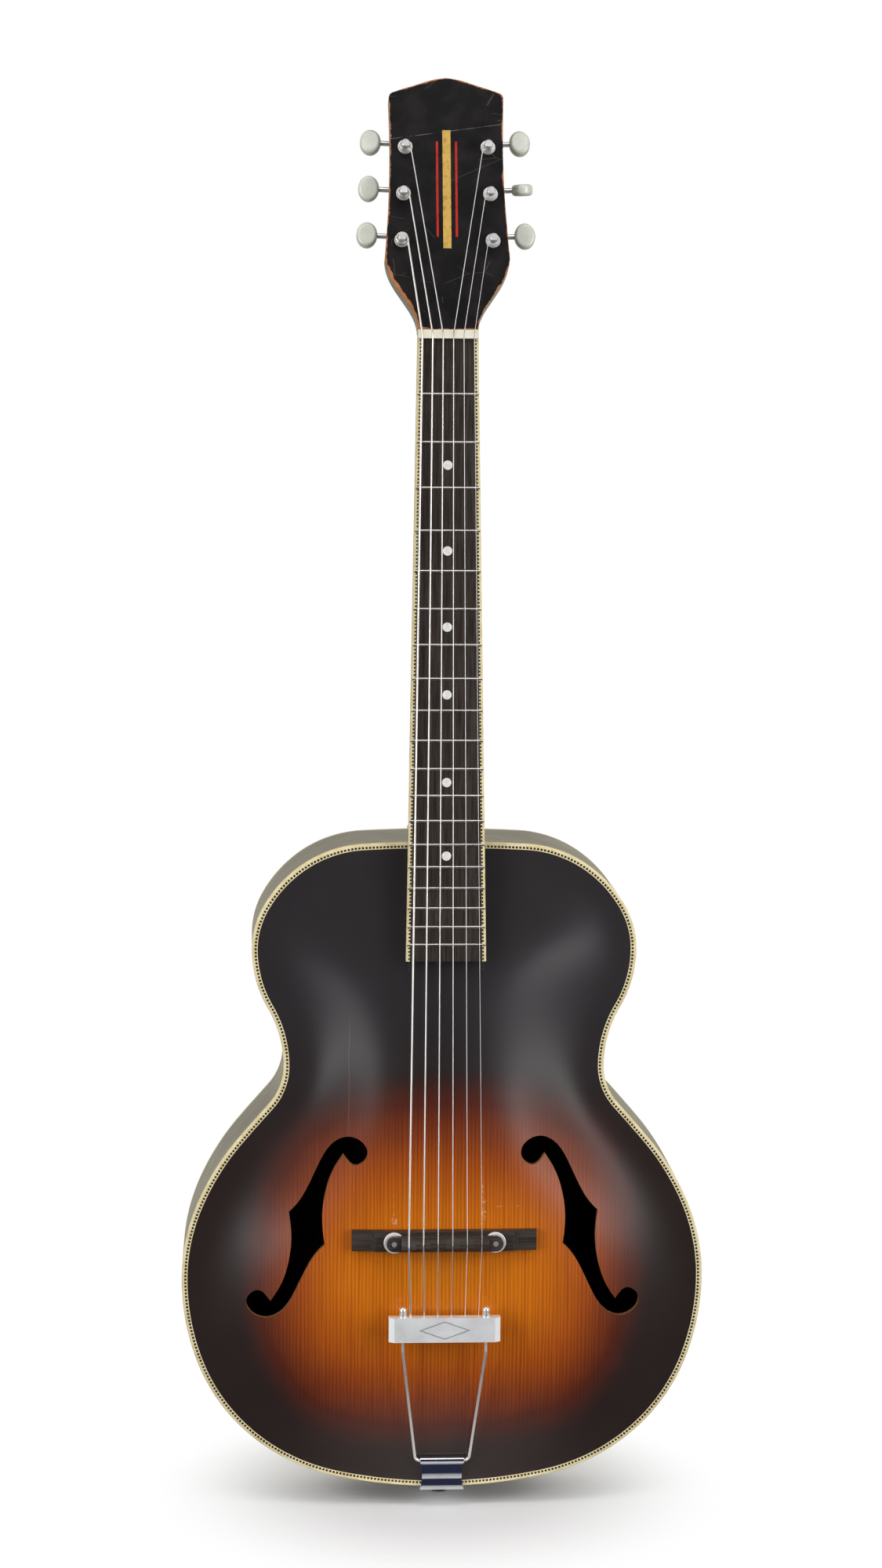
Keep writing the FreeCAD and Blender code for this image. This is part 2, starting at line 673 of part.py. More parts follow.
def make_neck():
    head = Part.Face(head_outline()).extrude(V(0, HEAD_THICKNESS, 0))
    head = head.cut(post_holes() + strip_screw_holes())
    head = head.cut(box(-FAR, FAR, -1, VENEER, -FAR, FAR))
    head = placed(head, HEAD_FRAME)

    top_z = NUT_Z + NUT_THICKNESS
    waist_z = HEEL_LENGTH
    shaft = Part.makeLoft([neck_section(waist_z, board_width(waist_z), NECK_DEPTH_BODY, 0.46, 0.27),
                           neck_section(top_z, NUT_WIDTH, NECK_DEPTH_NUT, 0.46, 0.27)], True, True)
    throat_end = neck_section(top_z + HEAD_THICKNESS, NUT_WIDTH, HEAD_THICKNESS * 0.7, 0.46, 0.3)
    throat_start = neck_section(top_z, NUT_WIDTH, NECK_DEPTH_NUT, 0.46, 0.27)
    throat = Part.makeLoft([throat_start, throat_end], True, True)
    steps = [(1.0, 0.0, 0.46, 0.27), (0.72, 0.03, 0.45, 0.26), (0.46, 0.13, 0.43, 0.25),
             (0.22, 0.4, 0.40, 0.23), (0.0, 0.86, 0.37, 0.2), (-0.25, 1.25, 0.36, 0.19)]
    sections = []
    for share, drop, flat, deep in steps:
        z = HEEL_LENGTH * share
        depth = NECK_DEPTH_BODY + (HEEL_DEPTH - NECK_DEPTH_BODY) * drop
        sections.append(neck_section(z, board_width(z), depth, flat, deep))
    heel = Part.makeLoft(sections, True, False)
    tongue = board_plan(0, BOARD_THICKNESS, BOARD_THICKNESS + ARCH_HEIGHT)
    tongue = tongue.common(box(-FAR, FAR, -FAR, FAR, BOARD_END_Z, HEEL_LENGTH * 0.2))
    wood = placed(heel.fuse([shaft, tongue, throat]), NECK_FRAME)

    half = BOARD_END_WIDTH
    low = BODY_LENGTH + BOARD_END_Z * 1.5
    wood = wood.cut(TOP_OUTER.common(box(-half, half, -FAR, BACK, low, BODY_LENGTH - BINDING_WIDTH)))
    sound_box = outline_solid(0, FRONT, BACK + ARCH_HEIGHT)
    wood = wood.cut(sound_box.common(box(-half, half, -FAR, FAR, low, FAR)))
    face_cut = placed(box(-FAR, FAR, -FAR, VENEER, 0, FAR), HEAD_FRAME)
    wood = wood.cut(face_cut)
    return wood.fuse([head.cut(nut_seat()), tenon_solid()]).removeSplitter()


def fret_solid(number):
    """One fret: rounded crown and tang."""
    z = fret_z(number)
    half = board_width(z) / 2 - FRET_END_GAP
    crown = Part.Face(Part.Wire([
        Part.Arc(V(-half, 0, z - FRET_WIDTH / 2), V(-half, -FRET_HEIGHT, z),
                 V(-half, 0, z + FRET_WIDTH / 2)).toShape(),
        Part.LineSegment(V(-half, 0, z + FRET_WIDTH / 2), V(-half, 0, z - FRET_WIDTH / 2)).toShape()]))
    return crown.extrude(V(2 * half, 0, 0)).fuse(fret_tang(number))


def fret_tang(number):
    z = fret_z(number)
    half = board_width(z + FRET_TANG_WIDTH) / 2 - BOARD_BINDING
    return box(-half, half, 0, FRET_TANG_DEPTH, z - FRET_TANG_WIDTH / 2, z + FRET_TANG_WIDTH / 2)


def make_frets():
    return [placed(fret_solid(number), NECK_FRAME) for number in range(1, FRET_COUNT + 1)]


def dot_solid(number):
    z = (fret_z(number) + fret_z(number - 1)) / 2
    return rod(DOT_DIAMETER / 2, V(0, 0, z), V(0, DOT_DEPTH, z))


def make_dots():
    return [placed(dot_solid(number), NECK_FRAME) for number in DOT_FRETS]


def make_fretboard():
    board = board_plan(BOARD_BINDING, 0, BOARD_THICKNESS)
    slots = [fret_tang(number) for number in range(1, FRET_COUNT + 1)]
    return placed(board.cut(slots + [dot_solid(number) for number in DOT_FRETS]), NECK_FRAME)


def make_board_bindings():
    frame = board_plan(0, 0, BOARD_THICKNESS).cut(board_plan(BOARD_BINDING, -1, BOARD_THICKNESS + 1))
    return [placed(strip, NECK_FRAME) for strip in frame.Solids]


def spread_place(string, spread):
    """Distance of a string from the centre line; string 0 is the thinnest, on the treble side."""
    return spread * (0.5 - string / 5)


def nut_point(string):
    """Where a string bears on the nut, in the neck's frame."""
    return V(spread_place(string, NUT_SPREAD), -STRING_RISE_NUT, NUT_Z + NUT_THICKNESS / 2)


def make_nut():
    half = NUT_WIDTH / 2
    blank = box(-half, half, -NUT_RISE, BOARD_THICKNESS, NUT_Z, NUT_Z + NUT_THICKNESS)
    return placed(blank, NECK_FRAME).cut([nut_slot(string) for string in range(6)])


def nut_slot(string):
    """Cutter for the slot that a string lies in on the nut."""
    radius = STRING_DIAMETERS[string] / 2 + STRING_SLOT_GAP
    saddle, nut, tangent, post = string_points(string)
    front = unit(NECK_FRAME.Rotation.multVec(V(0, -1, 0)))
    return slot_cutter(nut, (saddle, tangent), radius, front)


# Tuners; drawn in each tuner's own frame

def make_bushings():
    pieces = []
    for string in range(6):
        flange = rod(BUSHING_FLANGE / 2, V(0, -BUSHING_FLANGE_THICKNESS, 0), V(0, 0, 0))
        sleeve = rod(BUSHING_SLEEVE / 2, V(0, 0, 0), V(0, BUSHING_DEPTH, 0))
        bore = rod(POST_DIAMETER / 2 + POST_RUN_GAP, V(0, -FAR, 0), V(0, FAR, 0))
        pieces.append(placed(flange.fuse(sleeve).cut(bore).removeSplitter(), tuner_frame(string)))
    return pieces


def strip_screw_offsets():
    """Heights of the four screws of a strip from its first post."""
    half = TUNER_SPACING / 2
    return [-STRIP_END * 0.72, half * 0.86, half * 2.86, TUNER_SPACING * 2 + STRIP_END * 1.02]


def strip_screw_frames():
    """Frame of each strip screw, on the back of the headstock."""
    frames = []
    for string in (0, 5):
        place, side = TUNERS[string]
        turn = FreeCAD.Rotation(V(0, 1, 0), -TUNER_TOE_IN * side)
        for offset in strip_screw_offsets():
            centre = place + turn.multVec(V(0, HEAD_THICKNESS + STRIP_THICKNESS, offset))
            frames.append(FreeCAD.Placement(centre, turn))
    return frames


def strip_screw_shank():
    return rod(STRIP_SCREW_SHANK / 2, V(0, -STRIP_SCREW_LENGTH, 0), V(0, 0, 0))


def strip_screw_holes():
    return [placed(strip_screw_shank(), frame) for frame in strip_screw_frames()]


def make_strip_screws():
    head = Part.makeSphere(STRIP_SCREW_HEAD / 2).common(box(-FAR, FAR, 0, FAR, -FAR, FAR))
    flatten = FreeCAD.Matrix()
    flatten.A22 = 0.5
    head = head.transformGeometry(flatten)
    slot = box(-FAR, FAR, STRIP_SCREW_HEAD * 0.14, FAR, -0.3, 0.3)
    screw = head.cut(slot).fuse(strip_screw_shank())
    return [placed(placed(screw, frame), HEAD_FRAME) for frame in strip_screw_frames()]


def make_strips():
    """Two strips that carry three tuners each, with a pair of lugs for every worm."""
    strips = []
    y0 = HEAD_THICKNESS
    y1 = HEAD_THICKNESS + STRIP_THICKNESS
    for first, last in ((0, 3), (3, 6)):
        strings = range(first, last)
        low = strings[0] if first == 0 else strings[-1]
        half = STRIP_WIDTH / 2
        top = 2 * TUNER_SPACING + STRIP_END + MESH_DISTANCE
        plate = box(-half, half, y0, y1, -STRIP_END, top)
        corners = [edge for edge in plate.Edges if abs(edge.tangentAt(edge.FirstParameter).y) > 0.9]
        strip = placed(plate.makeFillet(half * 0.55, corners), tuner_frame(low))
        lugs = []
        cutters = [placed(placed(strip_screw_shank(), frame), HEAD_FRAME) for frame in strip_screw_frames()]
        for string in strings:
            frame = tuner_frame(string)
            for middle in (LUG_INNER + LUG_THICKNESS / 2, -LUG_INNER - LUG_THICKNESS / 2):
                lug = box(middle - LUG_THICKNESS / 2, middle + LUG_THICKNESS / 2, y1, GEAR_Y + WORM_TIP,
                          MESH_DISTANCE - LUG_WIDTH / 2, MESH_DISTANCE + LUG_WIDTH / 2)
                lugs.append(placed(lug, frame))
            reach = V(LUG_INNER + LUG_THICKNESS * 2, 0, 0)
            shaft = V(0, GEAR_Y, MESH_DISTANCE)
            bore = rod(SHAFT_DIAMETER / 2 + POST_RUN_GAP, shaft - reach, shaft + reach)
            hole = rod(POST_DIAMETER / 2 + STUD_GAP, V(0, 0, 0), V(0, GEAR_Y, 0))
            cutters += [placed(bore, frame), placed(hole, frame)]
        strips.append(strip.fuse(lugs).cut(cutters).removeSplitter())
    return strips


def make_post(string):
    radius = POST_DIAMETER / 2
    end = GEAR_Y + GEAR_THICKNESS / 2
    post = rod(radius, V(0, -POST_RISE, 0), V(0, end, 0))
    rim = [edge for edge in post.Edges if edge.BoundBox.YMax < -POST_RISE + 0.1]
    post = post.makeChamfer(radius * 0.2, rim)
    rivet = rod(radius * 1.3, V(0, end, 0), V(0, end + 1.0, 0))
    eye = rod(radius * 0.3, V(-FAR, -POST_RISE * 0.62, 0), V(FAR, -POST_RISE * 0.62, 0))
    return placed(post.cut(eye).fuse(rivet).removeSplitter(), tuner_frame(string))


def make_gear(string):
    """Straight-toothed wheel on the post, with a hub towards the strip; a tooth stands at the worm."""
    root = GEAR_RADIUS - MESH_DEDENDUM
    tip = GEAR_RADIUS + MESH_ADDENDUM
    y0 = GEAR_Y - GEAR_THICKNESS / 2
    y1 = GEAR_Y + GEAR_THICKNESS / 2
    wide = TOOTH_WIDTH / 2 + MESH_DEDENDUM * TOOTH_TAPER
    slim = TOOTH_WIDTH / 2 - MESH_ADDENDUM * TOOTH_TAPER
    flank = [(-wide, root * 0.9), (wide, root * 0.9), (wide, root), (slim, tip), (-slim, tip), (-wide, root)]
    tooth = prism(flank, y0, y1)
    wheel = rod(root, V(0, y0, 0), V(0, y1, 0))
    hub = rod(POST_DIAMETER * 0.7, V(0, HEAD_THICKNESS + STRIP_THICKNESS + STUD_GAP, 0), V(0, y0, 0))
    teeth = []
    for number in range(GEAR_TEETH):
        turn = FreeCAD.Rotation(V(0, 1, 0), 360.0 * number / GEAR_TEETH)
        teeth.append(placed(tooth, FreeCAD.Placement(V(0, 0, 0), turn)))
    bore = rod(POST_DIAMETER / 2, V(0, -FAR, 0), V(0, FAR, 0))
    return placed(wheel.fuse(teeth + [hub]).cut(bore).removeSplitter(), tuner_frame(string))


def worm_thread():
    """One start of thread along +Z, from a crest in the +X direction."""
    height = THREAD_PITCH * THREAD_TURNS
    helix = Part.makeHelix(THREAD_PITCH, height, WORM_PITCH_RADIUS)
    wide = THREAD_WIDTH / 2 + MESH_DEDENDUM * TOOTH_TAPER
    slim = THREAD_WIDTH / 2 - MESH_ADDENDUM * TOOTH_TAPER
    sunk = WORM_ROOT * 0.85
    profile = [V(sunk, 0, -wide), V(WORM_TIP, 0, -slim), V(WORM_TIP, 0, slim), V(sunk, 0, wide)]
    section = Part.makePolygon(profile + profile[:1])
    return Part.Wire(helix.Edges).makePipeShell([section], True, True)


def make_worm(string):
    """Worm and knob shaft as one turned piece along the tuner's X axis."""
    side = TUNERS[string][1]
    thread = worm_thread()
    thread.translate(V(0, 0, -THREAD_PITCH * THREAD_TURNS / 2))
    thread.rotate(V(0, 0, 0), V(0, 0, 1), -180.0 * (THREAD_TURNS - 1))
    radius = SHAFT_DIAMETER / 2
    core = Part.makeCylinder(WORM_ROOT, 2 * WORM_HALF, V(0, 0, -WORM_HALF))
    shaft_end = BUTTON_REACH + BUTTON_LENGTH * 0.15
    stub_end = LUG_INNER + LUG_THICKNESS
    pieces = [core]
    for sign, end in ((1, shaft_end), (-1, stub_end)):
        collar = Part.makeCylinder(WORM_TIP, COLLAR_WIDTH, V(0, 0, sign * WORM_HALF), V(0, 0, sign))
        shaft = Part.makeCylinder(radius, end - WORM_HALF, V(0, 0, sign * WORM_HALF), V(0, 0, sign))
        pieces += [collar, shaft]
    worm = thread.fuse(pieces)
    return placed(worm, worm_frame(string, side))


def worm_frame(string, side):
    """Frame of a worm: +Z out along the shaft and +X down to the gear."""
    axes = FreeCAD.Rotation(V(0, 0, -1), V(0, side, 0), V(side, 0, 0), "XYZ")
    place = FreeCAD.Placement(V(0, GEAR_Y, MESH_DISTANCE), axes)
    return tuner_frame(string).multiply(place)


def make_button(string):
    """Oval knob on the end of a worm shaft."""
    plan = Part.Ellipse(V(0, 0, 0), BUTTON_WIDTH / 2, BUTTON_LENGTH / 2).toShape()
    knob = Part.Face(Part.Wire(plan)).extrude(V(0, 0, BUTTON_THICKNESS))
    knob = knob.makeFillet(BUTTON_ROUND, [edge for edge in knob.Edges if len(edge.Vertexes) == 1])
    knob.translate(V(0, 0, -BUTTON_THICKNESS / 2))
    stand = FreeCAD.Rotation(V(-1, 0, 0), V(0, 0, 1), V(0, 1, 0), "XYZ")
    knob = placed(knob, FreeCAD.Placement(V(0, 0, BUTTON_REACH), stand))
    knob.rotate(V(0, 0, 0), V(0, 0, 1), BUTTON_TURNS[string])
    knob = knob.cut(Part.makeCylinder(SHAFT_DIAMETER / 2, BUTTON_REACH + BUTTON_LENGTH * 0.15))
    return placed(knob, worm_frame(string, TUNERS[string][1]))


# Strings

def saddle_point(string):
    """Where a string bears on the saddle."""
    x = spread_place(string, SADDLE_SPREAD)
    z = SADDLE_Z - STRING_COMPENSATION[string]
    return NECK_FRAME.multVec(V(x, -STRING_RISE_SADDLE, z))


def wrap_circle(string):
    """Radius of a string's turns on its post, and the depth where they end, in the tuner's frame."""
    radius = STRING_DIAMETERS[string] / 2
    turn_radius = POST_DIAMETER / 2 + WRAP_POST_GAP + radius
    return turn_radius, -BUSHING_FLANGE_THICKNESS - WRAP_GAP / 2 - radius


def wrap_pitch(string):
    return STRING_DIAMETERS[string] + WRAP_GAP


def string_points(string):
    """Saddle, nut and first point on the post in the part's frame, and that point's bearing."""
    nut = NECK_FRAME.multVec(nut_point(string))
    frame = tuner_frame(string)
    start = frame.inverse().multVec(nut)
    turn_radius, end_y = wrap_circle(string)
    side = TUNERS[string][1]
    reach = math.hypot(start.x, start.z)
    bearing = math.atan2(start.z, start.x)
    touch = bearing - side * math.acos(turn_radius / reach)
    wrap_y = end_y - WRAP_TURNS * wrap_pitch(string)
    point = V(turn_radius * math.cos(touch), wrap_y, turn_radius * math.sin(touch))
    return saddle_point(string), nut, frame.multVec(point), touch


def tail_anchor(string):
    """Centre of a string's ball end, under the top flange of the tailpiece bar."""
    z = TAIL_BAR_Z + TAIL_BAR_HEIGHT - TAIL_BAR_SHEET - BALL_DIAMETER / 2
    return V(spread_place(string, TAIL_SPREAD), tail_bar_middle(), z)


def tail_bar_middle():
    """Depth of the strings in the tailpiece bar."""
    return saddle_point(2).y + TAIL_BAR_DROP


def wrap_edges(string, first, tangent, touch):
    """Arcs of the turns on a post, from the point where the string meets it."""
    frame = tuner_frame(string)
    side = TUNERS[string][1]
    turn_radius, end_y = wrap_circle(string)
    pitch = wrap_pitch(string)
    quarters = round(WRAP_TURNS * 4)
    nodes = [(first, tangent)]
    for quarter in range(1, quarters + 1):
        angle = touch - side * quarter * math.pi / 2
        y = end_y - (quarters - quarter) * pitch / 4
        point = V(turn_radius * math.cos(angle), y, turn_radius * math.sin(angle))
        heading = V(side * turn_radius * math.sin(angle), pitch / (2 * math.pi),
                    -side * turn_radius * math.cos(angle))
        nodes.append((frame.multVec(point), unit(frame.Rotation.multVec(heading))))
    edges = []
    for (start, start_tangent), (end, end_tangent) in zip(nodes, nodes[1:]):
        edges += [arc_edge(*arc) for arc in biarc(start, start_tangent, end, end_tangent)]
    return edges


def make_string(string):
    """One unbroken string, from its ball end over the saddle and nut to its turns on the post."""
    radius = STRING_DIAMETERS[string] / 2
    saddle, nut, first, touch = string_points(string)
    anchor = tail_anchor(string)
    run = bent_path([anchor, saddle, nut, first], STRING_BEND)
    turns = wrap_edges(string, first, unit(first - nut), touch)
    wire = tube(run + turns, radius)
    print("string", string + 1, "volume share", round(wire.Volume / (
        math.pi * radius ** 2 * Part.Wire(run + turns).Length), 4), "turn gap", least_gap(turns, radius))
    half_ball = V(BALL_LENGTH / 2, 0, 0)
    return wire.fuse(rod(BALL_DIAMETER / 2, anchor - half_ball, anchor + half_ball))


def least_gap(turns, radius):
    """Least clear gap between the turns, measured on points at least half a turn apart."""
    points = [point for edge in turns for point in edge.discretize(Number=9)[:-1]]
    half_turn = 9 * 2
    least = min((points[j] - points[i]).Length
                for i in range(len(points)) for j in range(i + half_turn, len(points)))
    return round(least - 2 * radius, 3)


# Bridge

BRIDGE_Z = BODY_LENGTH + SADDLE_Z * math.cos(math.radians(NECK_ANGLE)) - max(STRING_COMPENSATION) / 2
BASE_TOP = FRONT - ARCH_HEIGHT - BASE_HEIGHT
WHEEL_BACK = BASE_TOP - WHEEL_STANDOFF
SADDLE_BACK = WHEEL_BACK - WHEEL_THICKNESS
SADDLE_FRONT = SADDLE_BACK - SADDLE_FOOT
STUD_TOP = SADDLE_BACK - STUD_REACH


def stud_rod(radius, y0, y1):
    x = STUD_SPACING / 2
    right = rod(radius, V(x, y0, BRIDGE_Z), V(x, y1, BRIDGE_Z))
    return [right, mirrored(right)]


def make_bridge_base():
    wing_top = FRONT - ARCH_HEIGHT - BASE_WING_HEIGHT
    z0 = BRIDGE_Z - BASE_WIDTH / 2
    z1 = BRIDGE_Z + BASE_WIDTH / 2
    half = BASE_LENGTH / 2
    centre = BASE_CENTRE_LENGTH / 2
    slope = BASE_HEIGHT - BASE_WING_HEIGHT
    side = [(-half, FRONT), (half, FRONT), (half, wing_top), (centre + slope, wing_top), (centre, BASE_TOP),
            (-centre, BASE_TOP), (-centre - slope, wing_top), (-half, wing_top)]
    blank = plan_prism(side, z0, z1)
    return blank.cut([TOP_OUTER] + stud_rod(STUD_DIAMETER / 2, FRONT - ARCH_HEIGHT - 1, BASE_TOP - FAR))


def make_studs():
    return stud_rod(STUD_DIAMETER / 2, FRONT - ARCH_HEIGHT - 1, STUD_TOP)


def make_wheels():
    wheels = stud_rod(WHEEL_DIAMETER / 2, WHEEL_BACK, SADDLE_BACK)
    bores = stud_rod(STUD_DIAMETER / 2 + STUD_GAP, WHEEL_BACK + 1, SADDLE_BACK - 1)
    rounded = []
    for wheel, bore in zip(wheels, bores):
        rims = wheel.Edges[:1] + wheel.Edges[2:3]
        rounded.append(wheel.makeChamfer(WHEEL_THICKNESS * 0.12, rims).cut(bore))
    return rounded


def make_saddle():
    """Saddle with one crest per string, each set back for its own string."""
    half = SADDLE_LENGTH / 2 - SADDLE_WIDTH / 2
    foot = box(-half, half, SADDLE_FRONT, SADDLE_BACK,
               BRIDGE_Z - SADDLE_WIDTH / 2, BRIDGE_Z + SADDLE_WIDTH / 2)
    ends = []
    for x in (-half, half):
        ends.append(rod(SADDLE_WIDTH / 2, V(x, SADDLE_FRONT, BRIDGE_Z), V(x, SADDLE_BACK, BRIDGE_Z)))
    crests = []
    slots = []
    pitch = SADDLE_SPREAD / 5
    for string in range(6):
        point = saddle_point(string)
        radius = STRING_DIAMETERS[string] / 2 + STRING_SLOT_GAP
        front = point.y - radius
        low = BRIDGE_Z - SADDLE_CREST_WIDTH / 2
        high = BRIDGE_Z + SADDLE_CREST_WIDTH / 2
        section = [(SADDLE_FRONT, low), (SADDLE_FRONT, high), (front, point.z + SADDLE_CREST / 2),
                   (front, point.z - SADDLE_CREST / 2)]
        corners = [V(point.x - pitch / 2, y, z) for y, z in section]
        crests.append(Part.Face(Part.makePolygon(corners + corners[:1])).extrude(V(pitch, 0, 0)))
        slots.append(saddle_slot(string, radius))
    holes = stud_rod(STUD_DIAMETER / 2 + STUD_GAP, SADDLE_BACK + 1, STUD_TOP - STUD_TRAVEL_ROOM)
    body = foot.fuse(ends + crests)
    return body.cut(slots + holes).removeSplitter()


def saddle_slot(string, radius):
    """Cutter for the slot that a string lies in on the saddle."""
    saddle, nut, first, touch = string_points(string)
    return slot_cutter(saddle, (nut, tail_anchor(string)), radius, V(0, -1, 0))


# Tailpiece

def make_tail_bar():
    """Folded bar: a front plate with its ends bent back and a flange at its top and bottom."""
    middle = tail_bar_middle()
    y0 = middle - TAIL_BAR_DEPTH / 2
    y1 = middle + TAIL_BAR_DEPTH / 2
    z0 = TAIL_BAR_Z
    z1 = TAIL_BAR_Z + TAIL_BAR_HEIGHT
    half = TAIL_BAR_LENGTH / 2
    flat = half - TAIL_BAR_END
    past = half + TAIL_BAR_END
    fold = y0 + TAIL_BAR_FOLD
    plan = [(-half, fold), (-flat, y0), (flat, y0), (half, fold), (half, y1), (-half, y1)]
    blank = plan_prism(plan, z0, z1)
    inner = y0 + TAIL_BAR_SHEET
    bent = inner + 2 * TAIL_BAR_FOLD
    room = [(-past, bent), (-flat, inner), (flat, inner), (past, bent), (past, y1 + 1), (-past, y1 + 1)]
    hollow = plan_prism(room, z0 + TAIL_BAR_SHEET, z1 - TAIL_BAR_SHEET)
    mid = (z0 + z1) / 2
    wide = TAIL_DIAMOND_LENGTH / 2
    tall = TAIL_DIAMOND_HEIGHT / 2
    corners = [(-wide, mid), (0, mid - tall), (wide, mid), (0, mid + tall)]
    diamond = prism(corners, y0 - TAIL_DIAMOND_RISE, y0)
    holes = []
    for string in range(6):
        radius = STRING_DIAMETERS[string] / 2 + STRING_SLOT_GAP
        anchor = tail_anchor(string)
        holes.append(rod(radius, anchor, anchor + unit(saddle_point(string) - anchor) * TAIL_BAR_HEIGHT))
    for x in (-FRAME_TOP_SPACING / 2, FRAME_TOP_SPACING / 2):
        holes.append(rod(FRAME_WIRE / 2 + FRAME_HOLE_GAP, V(x, middle, z0 - 1), V(x, middle, z1 + 1)))
    return blank.cut(hollow).cut(holes).fuse(diamond).removeSplitter()


HANGER_ROLL_RADIUS = FRAME_WIRE / 2 + FRAME_HOLE_GAP + HANGER_ROLL_WALL
HANGER_FACE_Y = FRONT - HANGER_STANDOFF - HANGER_SHEET
HANGER_ROLL_Y = HANGER_FACE_Y - HANGER_ROLL_RADIUS


def make_tail_frame():
    """Trapeze wire: down from the bar, through the hanger's roll and up again."""
    middle = tail_bar_middle()
    top = TAIL_BAR_Z + TAIL_BAR_HEIGHT + TAIL_NUT_HEIGHT * 0.6
    x = FRAME_TOP_SPACING / 2
    foot = FRAME_FOOT_SPACING / 2
    points = [V(-x, middle, top), V(-x, middle, TAIL_BAR_Z - FRAME_BEND * 2),
              V(-foot, HANGER_ROLL_Y, HANGER_ROLL_Z), V(foot, HANGER_ROLL_Y, HANGER_ROLL_Z),
              V(x, middle, TAIL_BAR_Z - FRAME_BEND * 2), V(x, middle, top)]
    return tube(bent_path(points, FRAME_BEND), FRAME_WIRE / 2)


def make_tail_nuts():
    middle = tail_bar_middle()
    top = TAIL_BAR_Z + TAIL_BAR_HEIGHT
    pieces = []
    for x in (-FRAME_TOP_SPACING / 2, FRAME_TOP_SPACING / 2):
        straight = TAIL_NUT_HEIGHT - TAIL_NUT_DIAMETER / 2
        skirt = rod(TAIL_NUT_DIAMETER / 2, V(x, middle, top), V(x, middle, top + straight))
        dome = Part.makeSphere(TAIL_NUT_DIAMETER / 2, V(x, middle, top + straight))
        bore = rod(FRAME_WIRE / 2, V(x, middle, top - 1), V(x, middle, top + TAIL_NUT_HEIGHT * 0.6))
        pieces.append(skirt.fuse(dome.common(box(-FAR, FAR, -FAR, FAR, top + straight, FAR))).cut(bore))
    return pieces


def make_hanger():
    """Sheet hanger: a roll over the front, a drawn-in face and a tail under the rim's end."""
    half = HANGER_WIDTH / 2
    waist = HANGER_WAIST / 2
    face_y = HANGER_FACE_Y
    top = HANGER_ROLL_Z
    low = -HANGER_SHEET
    right = arc_edge(V(half, face_y, low), V(waist, face_y, top * 0.45), V(half, face_y, top))
    left = arc_edge(V(-half, face_y, top), V(-waist, face_y, top * 0.45), V(-half, face_y, low))
    edges = [right, Part.LineSegment(V(half, face_y, top), V(-half, face_y, top)).toShape(),
             left, Part.LineSegment(V(-half, face_y, low), V(half, face_y, low)).toShape()]
    face = Part.Face(Part.Wire(edges)).extrude(V(0, HANGER_SHEET, 0))
    roll_centre = V(0, HANGER_ROLL_Y, HANGER_ROLL_Z)
    across = V(half, 0, 0)
    roll = rod(HANGER_ROLL_RADIUS, roll_centre - across, roll_centre + across)
    root = box(-half, half, HANGER_ROLL_Y, face_y + HANGER_SHEET, HANGER_ROLL_Z - HANGER_ROLL_RADIUS * 0.8,
               HANGER_ROLL_Z + HANGER_ROLL_RADIUS * 0.4)
    tail_end = face_y + HANGER_TAIL
    turn = tail_end - half
    plan = [Part.LineSegment(V(half, face_y, low), V(half, turn, low)).toShape(),
            arc_edge(V(half, turn, low), V(0, tail_end, low), V(-half, turn, low)),
            Part.LineSegment(V(-half, turn, low), V(-half, face_y, low)).toShape(),
            Part.LineSegment(V(-half, face_y, low), V(half, face_y, low)).toShape()]
    tail = Part.Face(Part.Wire(plan)).extrude(V(0, 0, HANGER_SHEET))
    bore = rod(FRAME_WIRE / 2 + FRAME_HOLE_GAP, roll_centre - across * 2, roll_centre + across * 2)
    sheet = face.fuse([roll, root, tail])
    return sheet.cut([bore, pin_shank()] + hanger_screw_shanks()).removeSplitter()


def make_end_pin():
    z = -HANGER_SHEET
    flange = rod(PIN_FLANGE / 2, V(0, 0, z), V(0, 0, z - PIN_FLANGE_THICKNESS))
    z -= PIN_FLANGE_THICKNESS
    neck = rod(PIN_NECK / 2, V(0, 0, z), V(0, 0, z - PIN_NECK_LENGTH))
    z -= PIN_NECK_LENGTH
    head = rod(PIN_HEAD / 2, V(0, 0, z), V(0, 0, z - PIN_HEAD_THICKNESS))
    head = head.makeFillet(PIN_HEAD_ROUND, head.Edges[:1] + head.Edges[2:3])
    return pin_shank().fuse([flange, neck, head]).removeSplitter()


def make_hanger_screws():
    pieces = []
    for y, shank in zip(hanger_screw_places(), hanger_screw_shanks()):
        head = Part.makeSphere(HANGER_SCREW_HEAD / 2, V(0, 0, 0)).common(box(-FAR, FAR, -FAR, FAR, -FAR, 0))
        flatten = FreeCAD.Matrix()
        flatten.A33 = 0.45
        head = head.transformGeometry(flatten)
        head.translate(V(0, y, -HANGER_SHEET))
        pieces.append(head.fuse(shank))
    return pieces


